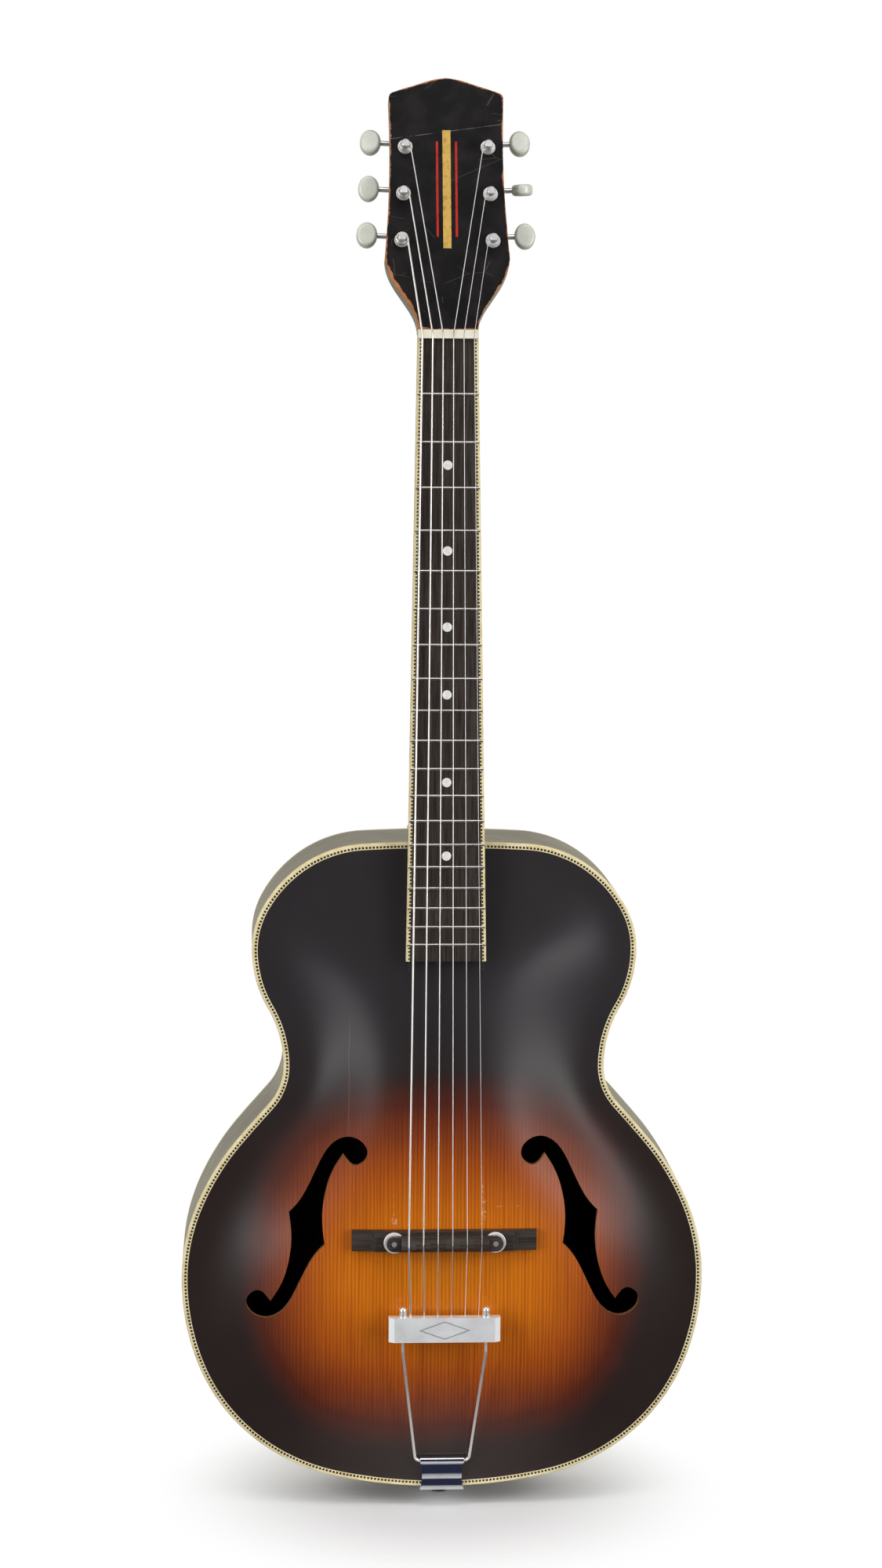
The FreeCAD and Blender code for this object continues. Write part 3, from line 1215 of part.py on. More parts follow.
def main():
    os.makedirs("parts", exist_ok=True)
    save("soundboard", [make_soundboard()])
    save("back", [make_back()])
    save("ribs", make_ribs())
    save("neck_block", [make_neck_block()])
    save("end_block", [make_end_block()])
    save("linings", make_linings())
    save("tone_bars", make_tone_bars())
    save("body_bindings", make_bindings())
    save("neck", [make_neck()])
    save("headstock_veneer", [make_veneer()])
    save("fretboard", [make_fretboard()])
    save("fretboard_bindings", make_board_bindings())
    save("frets", make_frets())
    save("position_dots", make_dots())
    save("nut", [make_nut()])
    save("bridge_base", [make_bridge_base()])
    save("bridge_studs", make_studs())
    treble_wheel, bass_wheel = make_wheels()
    save("thumbwheel_treble", [treble_wheel])
    save("thumbwheel_bass", [bass_wheel])
    save("bridge_saddle", [make_saddle()])
    save("tailpiece_bar", [make_tail_bar()])
    save("tailpiece_frame", [make_tail_frame()])
    save("tailpiece_nuts", make_tail_nuts())
    save("tailpiece_hanger", [make_hanger()])
    save("hanger_screws", make_hanger_screws())
    save("end_pin", [make_end_pin()])
    save("post_bushings", make_bushings())
    save("tuner_strips", make_strips())
    save("tuner_strip_screws", make_strip_screws())
    for string in range(6):
        number = str(string + 1)
        save("string_post_" + number, [make_post(string)])
        save("post_gear_" + number, [make_gear(string)])
        save("tuner_worm_" + number, [make_worm(string)])
        save("tuner_button_" + number, [make_button(string)])
        save("string_" + number, [make_string(string)])


main()
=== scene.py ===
import cmath
import json
import math

import bmesh
import bpy
import numpy as np
from mathutils import Matrix, Quaternion, Vector
from mathutils.geometry import delaunay_2d_cdt


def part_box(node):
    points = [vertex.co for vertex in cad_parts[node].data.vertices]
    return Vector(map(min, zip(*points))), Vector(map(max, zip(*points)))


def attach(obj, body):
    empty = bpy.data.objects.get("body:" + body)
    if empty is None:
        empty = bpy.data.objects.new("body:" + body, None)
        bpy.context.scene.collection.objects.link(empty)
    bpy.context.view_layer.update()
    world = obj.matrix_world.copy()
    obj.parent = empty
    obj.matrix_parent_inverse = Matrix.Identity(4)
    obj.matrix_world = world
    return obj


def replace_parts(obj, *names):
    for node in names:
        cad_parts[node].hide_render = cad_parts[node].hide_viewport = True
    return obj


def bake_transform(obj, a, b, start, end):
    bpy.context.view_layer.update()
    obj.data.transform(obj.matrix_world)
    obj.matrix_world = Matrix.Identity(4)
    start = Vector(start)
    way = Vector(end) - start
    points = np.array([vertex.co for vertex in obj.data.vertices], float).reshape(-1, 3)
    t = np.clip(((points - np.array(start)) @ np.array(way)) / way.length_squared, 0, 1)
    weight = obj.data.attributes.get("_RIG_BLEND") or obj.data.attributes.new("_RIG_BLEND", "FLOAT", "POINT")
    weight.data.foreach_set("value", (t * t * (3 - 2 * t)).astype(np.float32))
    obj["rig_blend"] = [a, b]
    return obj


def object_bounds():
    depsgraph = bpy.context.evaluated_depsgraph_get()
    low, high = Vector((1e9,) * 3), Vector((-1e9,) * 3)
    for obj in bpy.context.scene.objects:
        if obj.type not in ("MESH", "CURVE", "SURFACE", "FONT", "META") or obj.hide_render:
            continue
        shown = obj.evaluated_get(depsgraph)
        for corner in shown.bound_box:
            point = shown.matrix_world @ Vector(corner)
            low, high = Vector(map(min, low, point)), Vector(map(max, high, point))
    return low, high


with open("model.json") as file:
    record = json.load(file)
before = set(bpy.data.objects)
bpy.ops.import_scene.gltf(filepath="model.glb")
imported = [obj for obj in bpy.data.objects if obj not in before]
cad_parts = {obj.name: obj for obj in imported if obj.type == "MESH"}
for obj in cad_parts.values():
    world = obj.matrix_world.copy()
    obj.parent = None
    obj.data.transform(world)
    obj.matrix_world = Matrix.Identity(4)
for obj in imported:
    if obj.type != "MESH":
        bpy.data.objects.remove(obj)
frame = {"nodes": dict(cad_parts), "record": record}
CAD_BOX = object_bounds()
NODES = frame["nodes"]
BODY_OF = {node: body for body, nodes in frame["record"]["behaviour"]["bodies"].items() for node in nodes}
SLOT_OF = {part["node"]: part["material_slot"] for part in frame["record"]["subparts"]}

# Sizes of the guitar in millimetres and degrees, the same as the solids have; X + Zj is a point of a plan
MM = 0.001
RIM_STATIONS = [(0, 0, 0), (143.7, 43.3, 43), (189.5, 156, 90), (148, 260.3, 130.5), (115.8, 313, 90),
                (138.6, 398, 90), (109.3, 454.3, 140), (0, 476, 180)]
BODY_LENGTH = 476.0
FRONT = -40.0
BACK = 40.0
PLATE_EDGE = 5.0
PLATE_THICKNESS = 4.0
HOLLOW_START = 1.0
ARCH_HEIGHT = 15.0
ARCH_MARGIN = 11.0
ARCH_RUN = 95.0
BINDING_WIDTH = 4.2
RIB_THICKNESS = 2.2
FHOLE_MIDDLE = 99.1 + 196.0j
FHOLE_HOOK = [12.9 + 11.7j, 4.9 + 20.7j, -6.3 + 42.2j, -17.6 + 61.2j, -30.9 + 67.1j,
              -41.8 + 61.2j, -42.8 + 51.7j, -34.8 + 46.4j, -28.9 + 50.6j, -26.2 + 54.2j]
FHOLE_STEM = [-26.2 + 54.2j, -17.9 + 40.1j, -12.4 + 21.1j, -11.2 + 4.2j, -12.9 - 11.7j]
NECK_ANGLE = 2.7
NECK_FACE_Y = -55.0
NUT_Z = 358.65
NUT_THICKNESS = 6.2
NUT_WIDTH = 42.9
BOARD_END_Z = -90.8
BOARD_END_WIDTH = 57.4
HEAD_PITCH = 13.0
HEAD_DROP = 1.5
HEAD_LENGTH = 186.0
HEAD_WIDE = 44.4 + 52.5j
HEAD_NARROW = 40.5 + 115.0j
HEAD_TOP_HALF = 41.0
HEAD_CORNER_DROP = 12.0
HEAD_CORNER_ROUND = 3.0
VENEER = 1.5
POSTS = [32.4 + 65.3j, 30.955 + 99.77j, 29.51 + 134.24j]
POST_HOLE = 4.3
HANGER_FACE_Y = -42.1
HANGER_WAIST = 14.5 + 9.8j
HANGER_FLARE = 1.5 + 11.2j
NECK_PLACE = (Matrix.Translation((0, NECK_FACE_Y * MM, BODY_LENGTH * MM))
              @ Matrix.Rotation(math.radians(-NECK_ANGLE), 4, "X"))
HEAD_PLACE = (NECK_PLACE @ Matrix.Translation((0, HEAD_DROP * MM, (NUT_Z + NUT_THICKNESS) * MM))
              @ Matrix.Rotation(math.radians(-HEAD_PITCH), 4, "X"))

# Outline of the headstock as shares: from the nut to the widest place, and from the corner to the top
HEAD_FLARE = [(0, 0.006), (0.1, 0.2), (0.46, 0.47), (0.84, 0.74), (1, 1)]
HEAD_CROWN = [(0.74, 0.68), (0.5, 0.42), (0.24, 0.13), (0, 0)]


# Shader helpers

def paint(red, green, blue):
    """Linear colour from the 0 to 255 values seen on a screen."""
    def linear(value):
        share = value / 255
        return share / 12.92 if share <= 0.04045 else ((share + 0.055) / 1.055) ** 2.4
    return (linear(red), linear(green), linear(blue), 1.0)


def join(output, target):
    """Link from one socket to another in the same node tree."""
    output.id_data.links.new(output, target)


def put(kind, inputs, **settings):
    """Node with its settings, in the tree of its inputs; each input is a value or another node's output."""
    tree = next(value.id_data for value in inputs.values() if isinstance(value, bpy.types.NodeSocket))
    made = tree.nodes.new(kind if "Node" in kind else "ShaderNode" + kind)
    for name, value in settings.items():
        setattr(made, name, value)
    for name, value in inputs.items():
        if isinstance(value, bpy.types.NodeSocket):
            join(value, made.inputs[name])
        else:
            made.inputs[name].default_value = value
    return made


def calc(operation, first, second=0.0):
    """Output of one arithmetic step."""
    return put("Math", {0: first, 1: second}, operation=operation).outputs[0]


def times(first, second):
    """Product of two values."""
    return calc("MULTIPLY", first, second)


def vector_calc(operation, first, second):
    """Output of one arithmetic step on vectors."""
    return put("VectorMath", {0: first, 1: second}, operation=operation).outputs[0]


def mixed(share, first, second, mode="MIX"):
    """Output of one colour mix."""
    return put("Mix", {0: share, 6: first, 7: second}, data_type="RGBA", blend_type=mode).outputs[2]


def span(value, low, high, to_low=0.0, to_high=1.0):
    """Output that runs smoothly from to_low to to_high as value goes from low to high."""
    return put("MapRange", {"Value": value, "From Min": low, "From Max": high,
                            "To Min": to_low, "To Max": to_high},
               interpolation_type="SMOOTHSTEP").outputs[0]


def between(value, low, high):
    """One where a value lies between low and high, with a soft edge."""
    rise = span(value, low - SPOT_EDGE, low + SPOT_EDGE)
    return times(rise, span(value, high + SPOT_EDGE, high - SPOT_EDGE))


def ramp(value, stops):
    """Colour that changes along a list of (place, colour)."""
    made = put("ValToRGB", {"Fac": value})
    band = made.color_ramp
    band.elements[0].position, band.elements[0].color = stops[0]
    band.elements[1].position, band.elements[1].color = stops[-1]
    for place, colour in stops[1:-1]:
        band.elements.new(place).color = colour
    return made.outputs["Color"]


def parts_of(vector):
    """X, Y and Z of a vector."""
    return put("SeparateXYZ", {"Vector": vector}).outputs


def noise(vector, scale, detail=3.0, roughness=0.55):
    """Value of a cloudy noise."""
    return put("TexNoise", {"Vector": vector, "Scale": scale, "Detail": detail,
                            "Roughness": roughness}).outputs[0]


def wobble(vector, scale, amount):
    """Cloudy noise on both sides of zero."""
    return times(calc("SUBTRACT", noise(vector, scale), 0.5), amount)


def effect(name, values, outputs):
    """Node group that takes a place and values with defaults: its tree, input and output sockets."""
    tree = bpy.data.node_groups.new(name, "ShaderNodeTree")
    tree.interface.new_socket("Place", in_out="INPUT", socket_type="NodeSocketVector")
    for label, value in values.items():
        kind = "NodeSocketVector" if isinstance(value, tuple) else "NodeSocketFloat"
        tree.interface.new_socket(label, in_out="INPUT", socket_type=kind).default_value = value
    for label in outputs:
        tree.interface.new_socket(label, in_out="OUTPUT", socket_type="NodeSocketFloat")
    given = tree.nodes.new("NodeGroupInput").outputs
    result = tree.nodes.new("NodeGroupOutput").inputs
    return tree, given, result


def grain_effect():
    """Wood fibres: long streaks, and short dark pores."""
    tree, given, result = effect("wood_grain", {"Stretch": (900, 900, 14), "Wander": 0.002},
                                 ["Streaks", "Pores"])
    sway = put("TexNoise", {"Vector": given["Place"], "Scale": 7.0, "Detail": 2.0}).outputs["Color"]
    middle = vector_calc("SUBTRACT", sway, (0.5, 0.5, 0.5))
    shift = put("VectorMath", {0: middle, "Scale": given["Wander"]}, operation="SCALE").outputs[0]
    moved = vector_calc("ADD", given["Place"], shift)
    drawn = vector_calc("MULTIPLY", moved, given["Stretch"])
    join(noise(drawn, 1.0, 4.0, 0.6), result["Streaks"])
    join(span(noise(drawn, 2.6, 2.0), 0.56, 0.7), result["Pores"])
    return tree


def marks_effect():
    """Small dents and chips: a few cells of a random pattern."""
    tree, given, result = effect("chips_and_dents", {"Cells": 60.0, "Amount": 0.1, "Size": 0.2}, ["Mask"])
    ragged = noise(given["Place"], 900.0, 2.0, 0.5)
    cells = put("TexVoronoi", {"Vector": given["Place"], "Scale": given["Cells"]}, feature="F1")
    chance = put("SeparateColor", {0: cells.outputs["Color"]}).outputs
    chosen = calc("LESS_THAN", chance[0], given["Amount"])
    reach = times(given["Size"], calc("ADD", chance[1], 0.25))
    edge = calc("ADD", cells.outputs["Distance"], times(ragged, 0.12))
    within = calc("LESS_THAN", edge, calc("ADD", reach, 0.06))
    join(times(chosen, within), result["Mask"])
    return tree


def scratch_effect():
    """Fine scratches: thin pieces of long cell edges."""
    tree, given, result = effect("fine_scratches", {"Stretch": (30, 30, 6), "Width": 0.006, "Amount": 0.5},
                                 ["Mask"])
    drawn = vector_calc("MULTIPLY", given["Place"], given["Stretch"])
    cells = put("TexVoronoi", {"Vector": drawn, "Scale": 1.0}, feature="DISTANCE_TO_EDGE").outputs[0]
    line = calc("LESS_THAN", cells, given["Width"])
    patches = noise(drawn, 0.9)
    broken = calc("GREATER_THAN", patches, calc("SUBTRACT", 1.0, given["Amount"]))
    join(times(line, broken), result["Mask"])
    return tree


def haze_effect():
    """Handling haze: a slow change of gloss over a surface, between two values."""
    tree, given, result = effect("handling_haze", {"Scale": 40.0, "Least": 0.1, "Most": 0.3}, ["Roughness"])
    cloud = noise(given["Place"], given["Scale"], 5.0, 0.6)
    level = put("MapRange", {"Value": cloud, "From Min": 0.35, "From Max": 0.65,
                             "To Min": given["Least"], "To Max": given["Most"]}).outputs[0]
    join(level, result["Roughness"])
    return tree


GRAIN = grain_effect()
MARKS = marks_effect()
SCRATCHES = scratch_effect()
HAZE = haze_effect()


def use(group, inputs):
    """Outputs of a node group placed in a material with its own values."""
    return put("Group", inputs, node_tree=group).outputs


def mark_mask(place, cells, amount, size):
    """Where a surface is chipped or dented."""
    return use(MARKS, {"Place": place, "Cells": cells, "Amount": amount, "Size": size})["Mask"]


def scratch_mask(place, stretch, width, amount):
    """Where a surface is scratched."""
    values = {"Place": place, "Stretch": stretch, "Width": width, "Amount": amount}
    return use(SCRATCHES, values)["Mask"]


def haze_over(inputs, place, scale, least, most):
    """Handling haze on the shader's roughness."""
    haze = use(HAZE, {"Place": place, "Scale": scale, "Least": least, "Most": most})
    join(haze["Roughness"], inputs["Roughness"])


def finish(name, **values):
    """New material: itself, its shader's sockets with plain values, and the place on the object."""
    material = bpy.data.materials.new(name)
    material.use_nodes = True
    nodes = material.node_tree.nodes
    inputs = nodes["Principled BSDF"].inputs
    for label, value in values.items():
        inputs[label.replace("_", " ")].default_value = value
    return material, inputs, nodes.new("ShaderNodeTexCoord").outputs["Object"]


def raise_bump(inputs, height, strength, distance):
    """Bump from a height, on the shader's normal."""
    bump = put("Bump", {"Height": height, "Strength": strength, "Distance": distance})
    join(bump.outputs[0], inputs["Normal"])


# Finishes

# Sunburst in metres: the height of its middle, and how far it reaches to the sides, up and down
BURST_Z = 0.160
BURST_ASIDE = 0.157
BURST_UP = 0.162
BURST_DOWN = 0.143

# Fine crack in the top in metres: its X and half its width
CRACK_X = -0.069
CRACK_HALF = 0.00022

# Chipped lacquer above the bridge: X from and to, Z from and to in metres, and how little of it flakes
CHIPPED_SPOTS = [(-0.0385, -0.0335, 0.199, 0.205, 0.5), (-0.0375, -0.0355, 0.205, 0.222, 0.54),
                 (-0.057, -0.047, 0.2105, 0.2125, 0.55), (0.026, 0.031, 0.199, 0.22, 0.55),
                 (0.0265, 0.0285, 0.22, 0.23, 0.53), (0.037, 0.056, 0.2115, 0.2135, 0.52),
                 (-0.047, -0.042, 0.2345, 0.2355, 0.5)]
SPOT_EDGE = 0.001

# Diamond stamped in the tailpiece bar in metres: half its width, half its height and the height of its middle
DIAMOND_ASIDE = 0.0175
DIAMOND_UP = 0.0063
DIAMOND_Z = 0.1255

# Stripes of the headstock in metres: distance from the middle, half width, low end and high end
WIDE_STRIPE = (0.0, 0.0029, 0.898, 0.982)
NARROW_STRIPE = (0.0068, 0.0008, 0.906, 0.974)

# Long scratch across the headstock: its height in metres at the middle, its slope and half its width
SCRATCH_Z = 0.981
SCRATCH_SLOPE = 0.139
SCRATCH_HALF = 0.00022


def spruce_top():
    """Sunburst lacquer on fine-grained spruce: amber under the bridge, black-brown at the rim."""
    material, inputs, place = finish("sunburst_spruce", Coat_Weight=1.0, Coat_Roughness=0.22,
                                     Specular_IOR_Level=0.1)
    x, _, z = parts_of(place)
    across = calc("POWER", calc("DIVIDE", calc("ABSOLUTE", x), BURST_ASIDE), 1.6)
    up = calc("SUBTRACT", z, BURST_Z)
    above = calc("DIVIDE", calc("MAXIMUM", up, 0.0), BURST_UP)
    below = calc("DIVIDE", calc("MINIMUM", up, 0.0), BURST_DOWN)
    tall = calc("ABSOLUTE", calc("ADD", above, below))
    away = calc("SQRT", calc("ADD", calc("POWER", across, 2.0), calc("POWER", tall, 2.0)))
    reach = calc("ADD", away, wobble(place, 14.0, 0.12))
    burst = ramp(reach, [
        (0.0, paint(222, 132, 16)), (0.28, paint(212, 119, 13)), (0.5, paint(176, 88, 17)),
        (0.66, paint(130, 60, 24)), (0.78, paint(86, 38, 22)), (0.88, paint(58, 34, 28)),
        (1.0, paint(41, 32, 28))])
    rim = mixed(span(z, 0.24, 0.36), paint(41, 31, 27), paint(43, 39, 40))
    burst = mixed(span(reach, 0.84, 1.0), burst, rim)
    grain = use(GRAIN, {"Place": place, "Stretch": (820, 200, 9), "Wander": 0.004})
    shade = ramp(grain["Streaks"], [(0.3, paint(226, 212, 200)), (0.48, paint(250, 246, 240)),
                                    (0.7, paint(255, 252, 246))])
    drawn = vector_calc("MULTIPLY", place, (1, 0, 0.035))
    rings = put("TexWave", {"Vector": drawn, "Scale": 120.0, "Distortion": 5.0, "Detail": 3.0,
                            "Detail Scale": 1.4, "Detail Roughness": 0.6},
                bands_direction="X").outputs[1]
    lines = ramp(rings, [(0.0, paint(255, 252, 246)), (0.55, paint(246, 238, 226)),
                         (1.0, paint(224, 205, 188))])
    shown = span(away, 1.0, 0.55)
    coloured = mixed(times(shown, 0.9), burst, shade, "MULTIPLY")
    coloured = mixed(shown, coloured, lines, "MULTIPLY")
    beside = calc("SUBTRACT", calc("ADD", x, wobble(place, 30.0, 0.004)), CRACK_X)
    crack = calc("LESS_THAN", calc("ABSOLUTE", beside), CRACK_HALF)
    crack = times(crack, times(span(z, 0.25, 0.27), span(z, 0.36, 0.33)))
    coloured = mixed(times(crack, 0.35), coloured, paint(150, 112, 88))
    chips = mark_mask(place, 70.0, 0.03, 0.05)
    flakes = noise(place, 420.0, 4.0, 0.7)
    for left, right, low, high, least in CHIPPED_SPOTS:
        spot = times(between(x, left, right), between(z, low, high))
        chips = calc("MAXIMUM", chips, calc("GREATER_THAN", times(spot, flakes), least))
    worn = mixed(times(chips, 0.7), coloured, paint(218, 168, 128))
    join(worn, inputs["Base Color"])
    haze_over(inputs, place, 25.0, 0.32, 0.5)
    height = calc("SUBTRACT", times(grain["Streaks"], 0.15), chips)
    raise_bump(inputs, height, 0.12, 0.0002)
    return material


def dark_lacquer(name, base, centre, stretch):
    """Gloss lacquer, black-brown, with the maple's grain just showing."""
    material, inputs, place = finish(name, Coat_Weight=1.0, Coat_Roughness=0.16, Specular_IOR_Level=0.1)
    grain = use(GRAIN, {"Place": place, "Stretch": stretch, "Wander": 0.006})
    wood = mixed(span(grain["Streaks"], 0.35, 0.65), base, centre)
    scratches = scratch_mask(place, (26, 26, 7), 0.004, 0.42)
    coloured = mixed(times(scratches, 0.12), wood, paint(140, 110, 84))
    join(coloured, inputs["Base Color"])
    haze_over(inputs, place, 22.0, 0.25, 0.45)
    raise_bump(inputs, grain["Streaks"], 0.03, 0.0001)
    return material


def bare_wood(name, light, dark, stretch, roughness=0.6):
    """Unfinished or ebonised wood with visible fibres."""
    material, inputs, place = finish(name, Specular_IOR_Level=0.2)
    grain = use(GRAIN, {"Place": place, "Stretch": stretch, "Wander": 0.003})
    wood = mixed(span(grain["Streaks"], 0.3, 0.7), dark, light)
    coloured = mixed(times(grain["Pores"], 0.5), wood, dark)
    join(coloured, inputs["Base Color"])
    haze_over(inputs, place, 60.0, roughness - 0.1, roughness + 0.1)
    raise_bump(inputs, grain["Streaks"], 0.2, 0.0002)
    return material


def aged_celluloid(name, light, dark, gloss=(0.25, 0.45)):
    """Yellowed trim: cloudy colour, a little dirt in patches."""
    material, inputs, place = finish(name)
    coloured = mixed(span(noise(place, 130.0, 4.0), 0.35, 0.75), light, dark)
    dirt = mark_mask(place, 160.0, 0.12, 0.15)
    coloured = mixed(times(dirt, 0.35), coloured, paint(120, 92, 58))
    join(coloured, inputs["Base Color"])
    haze_over(inputs, place, 90.0, *gloss)
    return material


def plated_metal(name, colour, tarnish, least, most, metal=1.0):
    """Plated metal with handling haze and a trace of tarnish."""
    material, inputs, place = finish(name, Metallic=metal)
    spots = span(noise(place, 154.0, 5.0, 0.7), 0.52, 0.78)
    join(mixed(spots, colour, tarnish), inputs["Base Color"])
    haze_over(inputs, place, 70.0, least, most)
    raise_bump(inputs, scratch_mask(place, (220, 220, 90), 0.01, 0.5), 0.08, 0.00005)
    return material


def stamped_nickel():
    """Satin plate with a thin dark line along the outline of a stamped diamond."""
    material, inputs, place = finish("stamped_nickel", Metallic=0.55)
    x, _, z = parts_of(place)
    wide = calc("DIVIDE", calc("ABSOLUTE", x), DIAMOND_ASIDE)
    tall = calc("DIVIDE", calc("ABSOLUTE", calc("SUBTRACT", z, DIAMOND_Z)), DIAMOND_UP)
    edge = calc("ABSOLUTE", calc("SUBTRACT", calc("ADD", wide, tall), 1.0))
    line = span(edge, 0.1, 0.03)
    spots = span(noise(place, 150.0, 5.0, 0.7), 0.52, 0.78)
    plain = mixed(spots, paint(246, 247, 244), paint(234, 233, 228))
    # Thin dark line painted along the edge of the stamped diamond, over a shallow groove in the bump
    coloured = mixed(times(line, 0.7), plain, paint(128, 126, 120))
    join(coloured, inputs["Base Color"])
    haze_over(inputs, place, 70.0, 0.44, 0.56)
    raise_bump(inputs, line, 0.2, 0.0002)
    return material


def wound_wire(name, colour, dark, turns, metal):
    """String: bright wire whose winding shows as fine rings along it, the darker part of each ring painted shade
    of the grooves between the turns.
    """
    material, inputs, place = finish(name, Metallic=metal, Roughness=0.34)
    _, _, z = parts_of(place)
    ring = calc("SINE", times(z, turns * 2 * math.pi))
    # Darker part of each ring is painted shade between the turns of the winding
    join(mixed(span(ring, -1.0, 0.4), dark, colour), inputs["Base Color"])
    raise_bump(inputs, ring, 0.1, 0.00005)
    return material


def worn_veneer():
    """Black lacquered face of the headstock: rubbed edges, nicks, and three plain stripes."""
    material, inputs, place = finish("worn_black_face", Coat_Weight=0.06, Coat_Roughness=0.15,
                                     Specular_IOR_Level=0.08)
    x, _, z = parts_of(place)
    side = calc("ABSOLUTE", x)
    rubbed = span(noise(place, 240.0, 5.0, 0.7), 0.34, 0.5, 0.55, 1.0)

    def striped(under, colour, middle, half, low, high):
        """Rubbed stripe with ragged edges over another colour, the same on both sides."""
        away = calc("ABSOLUTE", calc("SUBTRACT", side, middle))
        within = calc("LESS_THAN", calc("ADD", away, wobble(place, 900.0, 0.0004)), half)
        tall = times(calc("GREATER_THAN", z, low), calc("LESS_THAN", z, high))
        return mixed(times(times(within, tall), rubbed), under, colour)

    cloud = span(noise(place, 60.0, 5.0), 0.35, 0.7)
    face = mixed(cloud, paint(21, 20, 21), paint(33, 30, 30))
    gold = mixed(noise(place, 150.0, 5.0), paint(214, 176, 92), paint(176, 140, 66))
    face = striped(face, gold, *WIDE_STRIPE)
    face = striped(face, paint(178, 44, 36), *NARROW_STRIPE)
    edge = material.node_tree.nodes.new("ShaderNodeAttribute")
    edge.attribute_name = "edge_mm"
    ragged = times(noise(place, 120.0, 5.0, 0.7), 5.0)
    handled = times(span(x, -0.012, -0.024), span(z, 0.905, 0.875))
    reach = calc("ADD", calc("SUBTRACT", ragged, 2.05), times(handled, 1.6))
    bare = calc("SUBTRACT", 1.0, span(calc("SUBTRACT", edge.outputs["Fac"], reach), -0.15, 0.2))
    slant = calc("SUBTRACT", calc("SUBTRACT", z, SCRATCH_Z), times(x, SCRATCH_SLOPE))
    line = calc("LESS_THAN", calc("ABSOLUTE", slant), SCRATCH_HALF)
    line = times(line, span(noise(place, 90.0), 0.35, 0.6))
    nicks = mark_mask(place, 120.0, 0.06, 0.12)
    scratches = scratch_mask(place, (18, 18, 34), 0.005, 0.45)
    face = mixed(times(scratches, 0.16), face, paint(130, 122, 112))
    face = mixed(times(line, 0.4), face, paint(150, 146, 140))
    face = mixed(times(nicks, 0.7), face, paint(150, 112, 82))
    wood = mixed(noise(place, 300.0, 4.0), paint(190, 128, 84), paint(132, 80, 50))
    join(mixed(bare, face, wood), inputs["Base Color"])
    haze_over(inputs, place, 50.0, 0.3, 0.5)
    height = calc("SUBTRACT", 1.0, calc("ADD", bare, nicks))
    raise_bump(inputs, height, 0.3, 0.0003)
    return material


def pearl_inlay():
    """Shell dots with soft clouds of cool and warm white."""
    material, inputs, place = finish("pearl_inlay", Roughness=0.18, Coat_Weight=0.4)
    cloud = put("TexNoise", {"Vector": place, "Scale": 260.0, "Detail": 3.0, "Distortion": 1.6}).outputs[0]
    shell = ramp(cloud, [(0.3, paint(214, 216, 214)), (0.5, paint(246, 244, 238)),
                         (0.7, paint(222, 214, 204))])
    join(shell, inputs["Base Color"])
    return material


def plain_gloss(name, colour, other, roughness):
    """Moulded plastic with a faint change of tone."""
    material, inputs, place = finish(name, Coat_Weight=0.3, Coat_Roughness=0.15)
    cloud = span(noise(place, 90.0, 4.0), 0.3, 0.75)
    join(mixed(cloud, colour, other), inputs["Base Color"])
    haze_over(inputs, place, 70.0, roughness, roughness + 0.15)
    return material


FINISHES = {
    "spruce_top": spruce_top(),
    "dark_lacquered_maple": dark_lacquer("dark_maple", paint(30, 22, 20), paint(46, 30, 24), (160, 160, 14)),
    "bare_wood": bare_wood("bare_spruce", paint(206, 170, 120), paint(160, 118, 74), (700, 700, 16)),
    "cream_binding": aged_celluloid("cream_trim", paint(230, 216, 170), paint(212, 194, 142)),
    "black_veneer": worn_veneer(),
    "ebonised_board": bare_wood("ebonised_board", paint(66, 57, 51), paint(37, 32, 29), (900, 500, 18), 0.42),
    "ebonised_bridge": bare_wood("ebonised_bridge", paint(72, 63, 56), paint(44, 38, 34),
                                 (16, 700, 700), 0.4),
    "nickel_silver": plated_metal("fret_wire", paint(222, 217, 206), paint(186, 178, 160), 0.24, 0.4),
    "pearl": pearl_inlay(),
    "bone": aged_celluloid("bone_nut", paint(226, 222, 204), paint(212, 203, 176), (0.3, 0.45)),
    "nickel_plate": plated_metal("nickel_plate", paint(234, 232, 227), paint(214, 210, 200), 0.27, 0.36, 0.8),
    "chrome_plate": plated_metal("chrome_plate", paint(226, 228, 232), paint(200, 200, 200), 0.04, 0.1),
    "black_plastic": plain_gloss("black_pin", paint(26, 25, 25), paint(38, 36, 35), 0.25),
    "brass_gear": plated_metal("brass_gear", paint(204, 168, 92), paint(128, 98, 50), 0.2, 0.4),
    "mint_button": plain_gloss("aged_knob", paint(215, 217, 204), paint(201, 204, 188), 0.22),
    "plain_string": wound_wire("plain_wire", paint(240, 239, 236), paint(230, 229, 226), 10.0, 0.2),
    "wound_string": wound_wire("wound_wire", paint(238, 236, 230), paint(206, 201, 192), 900.0, 0.8),
}
SATIN_NICKEL = plated_metal("satin_nickel", paint(246, 247, 244), paint(232, 231, 226), 0.46, 0.56, 0.6)
STAMPED_NICKEL = stamped_nickel()
HOLE_EDGE = bare_wood("cut_spruce", paint(150, 104, 62), paint(84, 52, 32), (500, 500, 30))
INLAY_BLACK = plain_gloss("black_inlay", paint(30, 27, 24), paint(46, 40, 34), 0.35)


# Mesh helpers

# Edges that bend by more than this angle are eased
EASE_ANGLE = 32.0


def add_object(name, data):
    """New object in the scene, at the origin."""
    made = bpy.data.objects.new(name, data)
    bpy.context.scene.collection.objects.link(made)
    return made


def piece_of(name, mesh, body):
    """Object that rides on a body."""
    piece = add_object(name, mesh)
    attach(piece, body)
    return piece


def settled(holder, name):
    """Mesh of an object with its modifiers applied; the object itself goes."""
    bpy.context.view_layer.update()
    ready = holder.evaluated_get(bpy.context.evaluated_depsgraph_get())
    mesh = bpy.data.meshes.new_from_object(ready)
    mesh.name = name
    bpy.data.objects.remove(holder)
    return mesh


